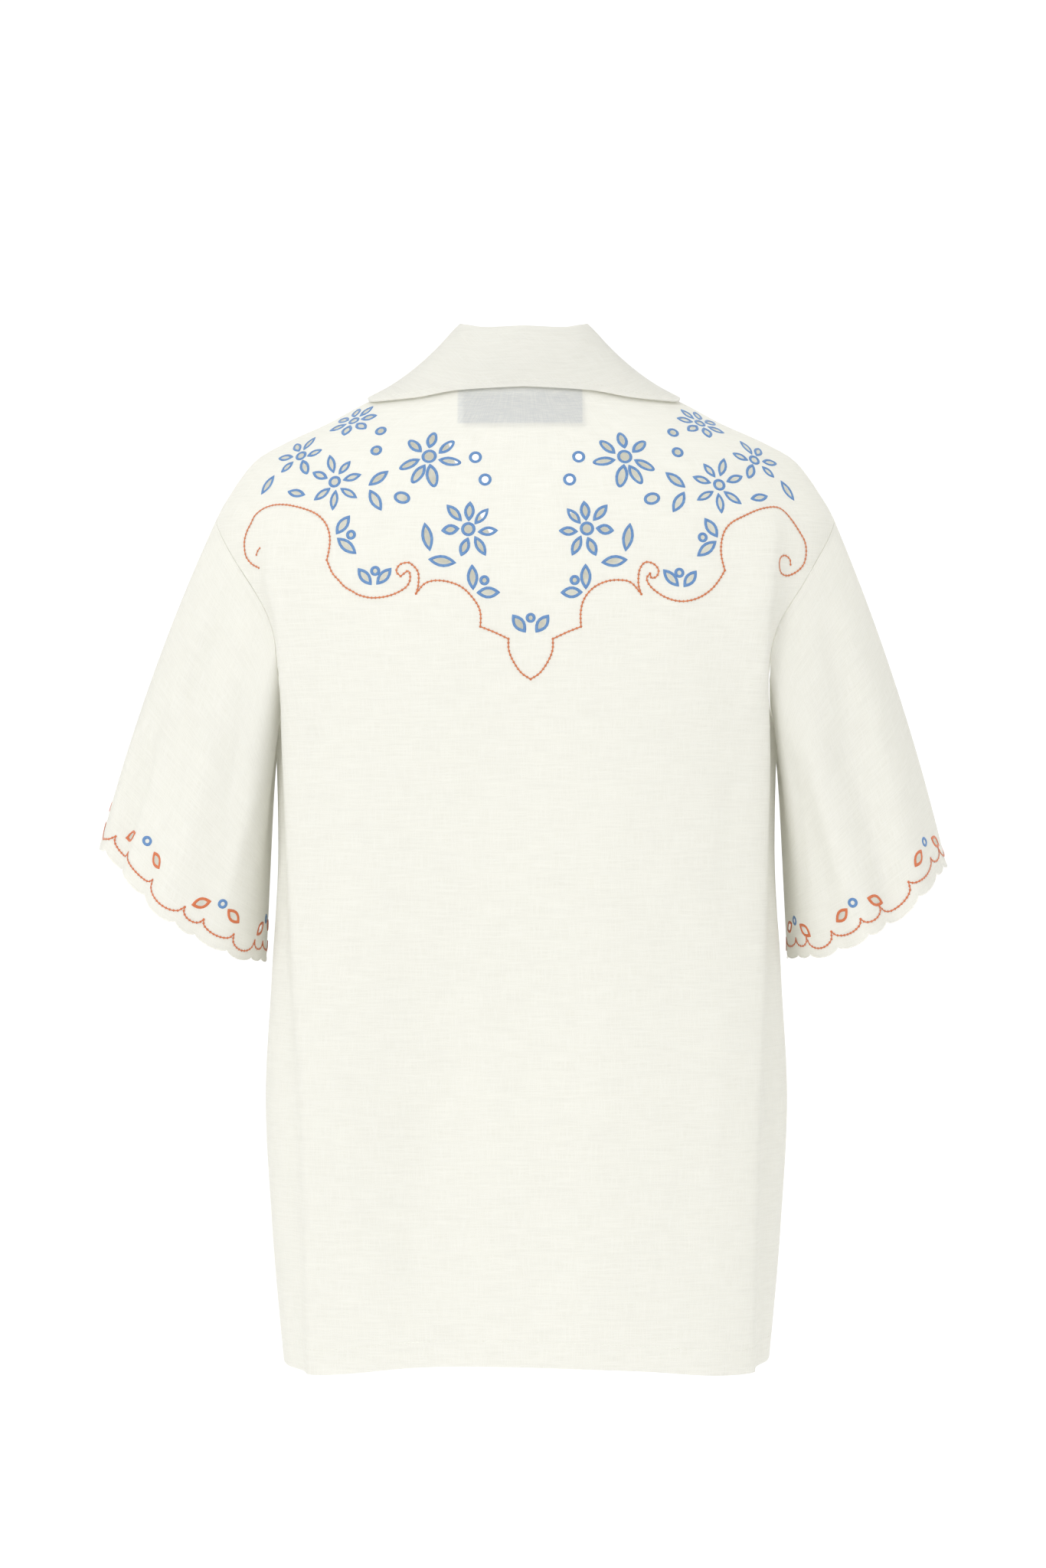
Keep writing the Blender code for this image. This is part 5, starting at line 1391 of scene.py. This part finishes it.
def smooth_run(points, steps=8):
    """A Catmull-Rom line through points."""
    pts = np.asarray(points, dtype=float)
    pts = np.vstack([2 * pts[0] - pts[1], pts, 2 * pts[-1] - pts[-2]])
    run = []
    for i in range(1, len(pts) - 2):
        a, b, c, d = pts[i - 1:i + 3]
        run += [curve_between(a, b, c, d, k / steps) for k in range(steps)]
    run.append(pts[-2])
    return np.array(run)


def yoke_line(side, points):
    """A line on the yoke from places as seen."""
    seen = np.array(points) / 1000
    places = smooth_run(back_places(YOKE_CENTRE + side * seen[:, 0], seen[:, 1]))
    turn, height = places[:, 0], places[:, 1]
    normal = body_normal(turn, height)
    return body_point(turn, height) + normal * LINE_LIFT, normal


# Materials
def material(name):
    made = bpy.data.materials.new(name)
    made.use_nodes = True
    tree = made.node_tree
    tree.nodes.clear()
    return made, tree


def node(tree, kind, inputs=None, **settings):
    made = tree.nodes.new(kind)
    for key, value in settings.items():
        setattr(made, key, value)
    for key, value in (inputs or {}).items():
        if isinstance(value, bpy.types.NodeSocket):
            tree.links.new(value, made.inputs[key])
        else:
            made.inputs[key].default_value = value
    return made


def ramp(tree, value, stops):
    made = tree.nodes.new("ShaderNodeValToRGB")
    tree.links.new(value, made.inputs["Fac"])
    elements = made.color_ramp.elements
    while len(elements) < len(stops):
        elements.new(0.5)
    for element, (place, colour) in zip(elements, stops):
        element.position = place
        element.color = (*colour, 1)
    return made.outputs["Color"]


def scaled(tree, vector, scale):
    return node(tree, "ShaderNodeMapping", {"Vector": vector, "Scale": scale}).outputs["Vector"]


def combined(tree, operation, *values):
    return node(tree, "ShaderNodeMath", dict(enumerate(values)), operation=operation).outputs[0]


def weave_height(tree, uv, threads=1150.0):
    """Height of a plain linen weave with uneven, slubby yarns."""
    wobble = node(tree, "ShaderNodeTexNoise", {"Vector": uv, "Scale": 160.0, "Detail": 2.0})
    shifted = node(tree, "ShaderNodeMixRGB", {"Fac": 0.0022, "Color1": uv,
                                              "Color2": wobble.outputs["Color"]}, blend_type="ADD")
    place = shifted.outputs["Color"]
    warp = node(tree, "ShaderNodeTexNoise", {"Vector": scaled(tree, place, (threads * 1.1, 60.0, 1.0)),
                                             "Scale": 1.0, "Detail": 3.0, "Roughness": 0.6})
    weft = node(tree, "ShaderNodeTexNoise", {"Vector": scaled(tree, place, (55.0, threads, 1.0)),
                                             "Scale": 1.0, "Detail": 3.0, "Roughness": 0.6})
    both = combined(tree, "MAXIMUM", warp.outputs["Fac"], weft.outputs["Fac"])
    return both, warp.outputs["Fac"], weft.outputs["Fac"]


def cloth_material(name, tint=(0.880, 0.876, 0.832), label=None):
    made, tree = material(name)
    uv = node(tree, "ShaderNodeUVMap", uv_map="cloth").outputs["UV"]
    height, warp, weft = weave_height(tree, uv)
    slub = node(tree, "ShaderNodeTexNoise", {"Vector": scaled(tree, uv, (26.0, 520.0, 1.0)),
                                             "Scale": 1.0, "Detail": 4.0, "Roughness": 0.7})
    tone = ramp(tree, slub.outputs["Fac"], [(0.30, tuple(c * 0.975 for c in tint)),
                                            (0.52, tint),
                                            (0.75, tuple(min(1.0, c * 1.02) for c in tint))])
    # Painted shade: the weave's low places are coloured darker, following the same height as the bump
    weave = ramp(tree, height, [(0.38, (0.95, 0.947, 0.935)), (0.62, (1.0, 1.0, 1.0))])
    colour = node(tree, "ShaderNodeMixRGB", {"Fac": 1.0, "Color1": tone, "Color2": weave},
                  blend_type="MULTIPLY").outputs["Color"]
    # Painted shade: where the neck tape lies behind the back, the cloth is greyed to stand for the
    # tape's shadow showing through it
    if label is not None:
        label_shade_mask = painted_label_shade(tree, warp, weft)
        label_shaded = node(tree, "ShaderNodeMixRGB", {"Fac": label_shade_mask, "Color1": colour,
                                               "Color2": (*label, 1)}, blend_type="MIX")
        colour = label_shaded.outputs["Color"]
    bump = node(tree, "ShaderNodeBump", {"Strength": 0.35, "Distance": 0.0004, "Height": height})
    shader = node(tree, "ShaderNodeBsdfPrincipled",
                  {"Base Color": colour, "Roughness": 0.86, "Sheen Weight": 0.12,
                   "Sheen Roughness": 0.5, "Specular IOR Level": 0.25,
                   "Normal": bump.outputs["Normal"]})
    through = node(tree, "ShaderNodeBsdfTranslucent", {"Color": colour})
    mix = node(tree, "ShaderNodeMixShader", {0: 0.40, 1: shader.outputs[0], 2: through.outputs[0]})
    node(tree, "ShaderNodeOutputMaterial", {"Surface": mix.outputs[0]})
    return made


def painted_label_shade(tree, warp, weft):
    """Painted shade where the tape inside the neck lies behind the back: a grey patch with soft edges
    and weave streaks, standing for the tape's shadow showing through the thin cloth.
    """
    place = node(tree, "ShaderNodeTexCoord").outputs["Object"]
    split = node(tree, "ShaderNodeSeparateXYZ", {"Vector": place})
    moved = combined(tree, "SUBTRACT", split.outputs["X"], LABEL_SHIFT)
    side = combined(tree, "ABSOLUTE", moved)
    half = LABEL_WIDTH / 2
    masks = []
    top = LABEL_TOP + LABEL_SHOWN_ABOVE
    for value, start, end in ((side, half + 0.0014, half),
                              (split.outputs["Z"], top, top - 0.0014),
                              (split.outputs["Z"], LABEL_BOTTOM + 0.0022, LABEL_BOTTOM + 0.0036)):
        masks.append(node(tree, "ShaderNodeMapRange", {"Value": value, "From Min": start,
                                                       "From Max": end}).outputs[0])
    both = combined(tree, "MULTIPLY", masks[0], masks[1])
    both = combined(tree, "MULTIPLY", both, masks[2])
    cloud = combined(tree, "MULTIPLY", warp, weft)
    share = node(tree, "ShaderNodeMapRange", {"Value": cloud, "From Min": 0.12, "From Max": 0.36,
                                              "To Min": 1.0, "To Max": 0.30}).outputs[0]
    return combined(tree, "MULTIPLY", both, share)


def thread_material(name, low, high, along=2600.0, gloss=0.42):
    """Embroidery thread: fine strands across the band, with a painted highlight that makes the raised
    strands lighter, and a random tone along it.
    """
    made, tree = material(name)
    uv = node(tree, "ShaderNodeUVMap", uv_map="cloth").outputs["UV"]
    strand = node(tree, "ShaderNodeTexNoise", {"Vector": scaled(tree, uv, (along, 1.2, 1.0)),
                                               "Scale": 1.0, "Detail": 2.0, "Roughness": 0.5})
    broad = node(tree, "ShaderNodeTexNoise", {"Vector": scaled(tree, uv, (420.0, 2.0, 1.0)),
                                              "Scale": 1.0, "Detail": 3.0})
    mixed = combined(tree, "ADD", strand.outputs["Fac"], broad.outputs["Fac"])
    half = combined(tree, "MULTIPLY", mixed, 0.5)
    # Painted highlight: the colour follows the strands' bump height, lighter where they stand high,
    # mixed with a random broad tone
    colour = ramp(tree, half, [(0.36, low), (0.62, high)])
    bump = node(tree, "ShaderNodeBump", {"Strength": 0.5, "Distance": 0.0003,
                                         "Height": strand.outputs["Fac"]})
    shader = node(tree, "ShaderNodeBsdfPrincipled",
                  {"Base Color": colour, "Roughness": gloss, "Sheen Weight": 0.25,
                   "Sheen Roughness": 0.4, "Specular IOR Level": 0.4,
                   "Normal": bump.outputs["Normal"]})
    node(tree, "ShaderNodeOutputMaterial", {"Surface": shader.outputs[0]})
    return made


def shell_material(name):
    made, tree = material(name)
    place = node(tree, "ShaderNodeTexCoord").outputs["Object"]
    cloud = node(tree, "ShaderNodeTexNoise", {"Vector": place, "Scale": 240.0, "Detail": 4.0,
                                              "Distortion": 1.6})
    colour = ramp(tree, cloud.outputs["Fac"], [(0.32, (0.66, 0.63, 0.56)), (0.5, (0.84, 0.82, 0.76)),
                                               (0.7, (0.93, 0.92, 0.88))])
    shader = node(tree, "ShaderNodeBsdfPrincipled",
                  {"Base Color": colour, "Roughness": 0.22, "Coat Weight": 0.4,
                   "Coat Roughness": 0.1})
    node(tree, "ShaderNodeOutputMaterial", {"Surface": shader.outputs[0]})
    return made


def floor_material(name):
    made, tree = material(name)
    shader = node(tree, "ShaderNodeBsdfPrincipled",
                  {"Base Color": (0.93, 0.93, 0.93, 1), "Roughness": 0.9,
                   "Specular IOR Level": 0.1})
    node(tree, "ShaderNodeOutputMaterial", {"Surface": shader.outputs[0]})
    return made


def cuff_chain(heap, sleeve):
    """The bead line of one cuff, all the way round, one scallop after another."""
    angles, offsets = [], []
    steps = 15
    for repeat in range(CUFF_REPEATS):
        for first, last, depth in CHAIN_ROWS:
            for u in np.linspace(0, 1, steps):
                sag = depth * math.sqrt(max(0.0, 4 * u * (1 - u)))
                angles.append(sleeve.pattern_angle(repeat, first + (last - first) * u))
                offsets.append((0.0, sag - CHAIN_UP))
    run = np.array(walk(sleeve.point, (angles, [1.0] * len(angles)), offsets))
    normal = sleeve.normal(run[:, 0], run[:, 1])
    point = sleeve.point(run[:, 0], run[:, 1]) + normal * LINE_LIFT
    for i in range(0, len(run), steps):
        bead_chain(heap, point[i:i + steps], normal[i:i + steps])


def stitch_line(heap, point, normal):
    """Even running stitches along a line of points on the cloth."""
    run = run_along(point)
    middle = np.arange(STITCH_PITCH, run[-1] - STITCH_PITCH / 2, STITCH_PITCH)
    first = looked_up(point, run, middle - STITCH_LENGTH / 2)
    last = looked_up(point, run, middle + STITCH_LENGTH / 2)
    centre = looked_up(point, run, middle)
    up = units(looked_up(normal, run, middle))
    across = np.cross(up, last - first)
    across *= STITCH_WIDTH / 2 / np.linalg.norm(across, axis=1)[:, None]
    corners = (first, centre - across, last, centre + across, centre + up * STITCH_RISE,
               centre - up * STITCH_RISE)
    faces = [(i, (i + 1) % 4, 4) for i in range(4)] + [((i + 1) % 4, i, 5) for i in range(4)]
    for k, bits in enumerate(np.stack(corners, axis=1)):
        heap.add(list(bits), faces, [(float(middle[k]), 0.5)] * len(bits))


def body_stitches(name, surface, lines, material):
    """Running stitches along lines of places on one panel."""
    heap = Heap()
    for line in lines:
        turn, height = np.array(line).T
        normal = -normals_of(surface, turn, height)
        stitch_line(heap, surface(turn, height) + normal * THREAD_FLOAT, normal)
    return heap.build(name, material)


def front_stitch_lines():
    """The hem and both rows of the placket on the front of the side +X."""
    top = opening_turn(HEM_HEIGHT, STITCH_IN - PLACKET_LAP)
    hem = [(t, hem_height(t) + HEM_FOLD) for t in spaced(1.012, top, 150)]
    heights = spaced(PLACKET_TOP, HEM_HEIGHT + HEM_FOLD, 120)
    rows = [[(opening_turn(h, x), h) for h in heights] for x in (STITCH_IN - PLACKET_LAP, PLACKET_FOLD)]
    return [hem] + rows


def sewing(grid, normal, thread):
    """Every visible row of sewing: hems, placket, collar edge."""
    back = [[(t, hem_height(t) + HEM_FOLD) for t in spaced(-0.988, 0.988, 300)]]
    made = [body_stitches("stitches_back", body_point, back, thread),
            body_stitches("stitches_front_left", body_point, front_stitch_lines(), thread),
            body_stitches("stitches_front_right", right_front_point,
                          [mirrored(line) for line in front_stitch_lines()], thread)]
    edge, facing = [], []
    for section, normals in zip(grid[1:-1], normal[1:-1]):
        run = np.cumsum(np.linalg.norm(np.diff(section, axis=0), axis=1))
        place = run[-1] - COLLAR_STITCH_IN
        edge.append([np.interp(place, run, section[1:, i]) for i in range(3)])
        facing.append([np.interp(place, run, normals[1:, i]) for i in range(3)])
    heap = Heap()
    facing = np.array(facing)
    stitch_line(heap, np.array(edge) + facing * THREAD_FLOAT, facing)
    made.append(heap.build("stitches_collar", thread))
    return [(thing, "thread") for thing in made]


def cuff_cord(word, sleeve, thread):
    """The corded white edge of one cuff's scallops."""
    angle = np.linspace(-179.6, 179.6, 540)
    down = np.array([cuff_down(sleeve, a) for a in angle])
    outer = sleeve.point(angle, down)
    normal = sleeve.normal(angle, down)
    middle = outer - normal * CLOTH / 2
    across = np.cross(normal, units(np.gradient(middle, axis=0)))
    rows = []
    for j in range(7):
        turn = 2 * math.pi * j / 7
        rows.append(middle + (across * math.cos(turn) + normal * math.sin(turn)) * CORD_RADIUS)
    heap = Heap()
    cross_ring(heap, np.stack(rows, axis=1), closed=False, run=run_along(middle))
    return [(heap.build(f"cuff_cord_{word}", thread), "thread")]


def buttonholes(thread):
    """Worked slits of the left front, one behind each button."""
    outlines = []
    for height in BUTTON_HEIGHTS:
        pair = [turned(eye_outline(BUTTONHOLE_LENGTH - inset, BUTTONHOLE_WIDTH - 1.4 * inset, 1.0), 90.0)
                for inset in (0.0, BUTTONHOLE_INSET)]
        outlines.append(((2.0, height), 1, 1, *pair))
    heap = Heap()
    satin_bands(heap, body_point, outlines)
    return [(heap.build("buttonholes", thread), "thread")]


def yoke_outlines():
    """Every eye of the yoke: its place, and its satin's outer and inner outline."""
    found = []
    for side in (1, -1):
        for middle, shift, angle, length, width, blunt in yoke_eyes(side):
            pair = [turned(eye_outline(length, width, blunt, inset), angle, at=shift)
                    for inset in (0.0, SATIN_WIDTH)]
            found.append((middle, *pair))
    return found


def yoke_embroidery(outlines, blue, orange):
    satin = Heap()
    satin_bands(satin, body_point, [(middle, 1, 1, outer, inner) for middle, outer, inner in outlines])
    rims = satin.build("yoke_satin", blue)
    chain = Heap()
    for side, runs in YOKE_LINES.items():
        for points in runs:
            line, normals = yoke_line(side, points)
            bead_chain(chain, line, normals)
    return [(rims, "embroidery_blue"), (chain.build("yoke_chain", orange), "embroidery_orange")]


def cuff_embroidery(word, sleeve, blue, orange):
    heaps = {"leaf": Heap(), "ring": Heap()}
    for kind, heap in heaps.items():
        eyes = [((start, 1.0), 1, -1, outer, inner)
                for start, which, outer, inner in sleeve_eyes(sleeve) if which == kind]
        satin_bands(heap, sleeve.point, eyes)
    chain = Heap()
    cuff_chain(chain, sleeve)
    return [(heaps["leaf"].build(f"cuff_leaves_{word}", orange), "embroidery_orange"),
            (heaps["ring"].build(f"cuff_rings_{word}", blue), "embroidery_blue"),
            (chain.build(f"cuff_chain_{word}", orange), "embroidery_orange")]


def make_button(index, height, colour):
    """A plain shell button with a raised rim."""
    base = body_point([2.0], height)[0]
    normal = unit(body_normal([2.0], height)[0])
    across = unit(np.cross(np.array([0.0, 0.0, 1.0]), normal))
    up = np.cross(normal, across)
    lifted = base + normal * (SEAM_GAP + 0.0002)
    profile = ((0.0, 0.66), (0.30, 0.66), (0.58, 0.68), (0.68, 0.80), (0.76, 0.96), (0.84, 1.0),
               (0.93, 0.92), (0.985, 0.70), (1.0, 0.45), (0.97, 0.16), (0.88, 0.0), (0.0, 0.0))
    sides = 40
    rows = []
    for radius, rise in profile:
        ring = []
        for i in range(sides):
            angle = 2 * math.pi * i / sides
            spoke = across * math.cos(angle) + up * math.sin(angle)
            ring.append(lifted + spoke * BUTTON_RADIUS * max(radius, 0.002)
                        + normal * (BUTTON_THICKNESS * rise))
        rows.append(ring)
    heap = Heap()
    cross_ring(heap, np.array(rows), closed=False)
    return heap.build(f"shirt_button_{index + 1}", colour)


def build_shirt():
    cloth = cloth_material("linen_cream")
    # The back's cloth carries the painted shade of the neck tape seen through it, in this grey
    back_cloth = cloth_material("linen_cream_back", label=(0.70, 0.715, 0.715))
    blue = thread_material("thread_blue", (0.058, 0.150, 0.370), (0.130, 0.270, 0.480))
    orange = thread_material("thread_orange", (0.440, 0.115, 0.034), (0.600, 0.190, 0.068), along=900.0)
    red = thread_material("thread_leaf_orange", (0.490, 0.112, 0.034), (0.620, 0.175, 0.065))
    thread = thread_material("thread_cream", (0.70, 0.69, 0.62), (0.86, 0.85, 0.80), gloss=0.6)
    tape = cloth_material("tape", (0.66, 0.67, 0.66))
    shell = shell_material("shell")

    outlines = yoke_outlines()
    holes = [walk(body_point, middle, inner) for middle, _, inner in outlines]
    pieces = {}
    pieces["back"] = body_panel("shirt_back", back_outline(), holes, BACK_STEP, body_point,
                                0.0, -CLOTH, back_cloth)
    for word, outline, surface in (("left", front_outline(), body_point),
                                   ("right", mirrored(front_outline()), right_front_point)):
        pieces[f"front_{word}"] = body_panel(f"shirt_front_{word}", outline, [], FRONT_STEP, surface,
                                             0.0, -CLOTH, cloth)
    for word, outline in (("left", lapel_outline()), ("right", mirrored(lapel_outline()))):
        pieces[f"lapel_{word}"] = body_panel(f"shirt_lapel_{word}", outline, [], FRONT_STEP, body_point,
                                             LAID_GAP + CLOTH + LAID_GAP, LAID_GAP, cloth)
    pieces["neck_label"] = body_panel("neck_tape", label_outline(), [], LABEL_STEP, body_point,
                                      -CLOTH - 0.0004, -CLOTH - 0.0010, tape)
    grid, normal = collar_surface()
    pieces["collar"] = make_collar("shirt_collar", grid, normal, cloth)
    for thing in pieces.values():
        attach(thing, "root")
    for node_name, thing in pieces.items():
        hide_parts(node_name)

    trims = yoke_embroidery(outlines, blue, orange)
    trims += sewing(grid, normal, thread) + buttonholes(thread)
    sleeves = {}
    for side, word in ((1, "left"), (-1, "right")):
        sleeve = Sleeve(side)
        tube = make_sleeve(f"sleeve_{word}", sleeve, cloth)
        sleeves[word] = tube
        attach(tube, "root")
        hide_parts(f"sleeve_{word}_back", f"sleeve_{word}_front")
        trims += cuff_embroidery(word, sleeve, blue, red) + cuff_cord(word, sleeve, thread)
    for index, height in enumerate(BUTTON_HEIGHTS):
        disc = make_button(index, height, shell)
        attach(disc, "root")
        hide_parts(f"button_{index + 1}")
    for thing, slot_name in trims:
        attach(thing, "root")
    return pieces, sleeves, trims


def area_light(name, place, target, size, power):
    data = bpy.data.lights.new(name, "AREA")
    data.shape = "DISK"
    data.size = size
    data.energy = power
    lamp = bpy.data.objects.new(name, data)
    lamp.location = place
    aim = Vector(target) - Vector(place)
    lamp.rotation_euler = aim.to_track_quat("-Z", "Y").to_euler()
    bpy.context.scene.collection.objects.link(lamp)


def build_studio():
    scene = bpy.context.scene
    scene.view_settings.view_transform = "Standard"
    world = bpy.data.worlds.new("studio")
    scene.world = world
    world.use_nodes = True
    background = world.node_tree.nodes["Background"]
    background.inputs["Color"].default_value = (1.0, 1.0, 1.0, 1)
    background.inputs["Strength"].default_value = SURROUND_STRENGTH
    mesh = bpy.data.meshes.new("studio_floor")
    mesh.from_pydata([(FLOOR_RADIUS * math.cos(2 * math.pi * i / FLOOR_SIDES),
                       FLOOR_RADIUS * math.sin(2 * math.pi * i / FLOOR_SIDES), FLOOR_HEIGHT)
                      for i in range(FLOOR_SIDES)], [], [tuple(range(FLOOR_SIDES))])
    mesh.materials.append(floor_material("floor_pale"))
    floor = bpy.data.objects.new("studio_floor", mesh)
    scene.collection.objects.link(floor)
    area_light("key", KEY_PLACE, KEY_TARGET, KEY_SIZE, KEY_WATTS)
    for x, height, power in INSIDE_LIGHTS:
        inside_data = bpy.data.lights.new("inside", "POINT")
        inside_data.energy = power
        inside_data.shadow_soft_size = 0.04
        lamp = bpy.data.objects.new("inside", inside_data)
        lamp.location = (x, -0.01, height)
        lamp.visible_camera = False
        scene.collection.objects.link(lamp)
    camera_data = bpy.data.cameras.new("camera")
    camera_data.lens = CAMERA_LENS
    camera_data.sensor_width = 36.0
    camera_data.clip_end = 50.0
    camera = bpy.data.objects.new("camera", camera_data)
    camera.location = CAMERA_PLACE
    camera.rotation_euler = (math.radians(90), 0.0, math.radians(180))
    scene.collection.objects.link(camera)
    scene.camera = camera


pieces, sleeves, trims = build_shirt()
build_studio()
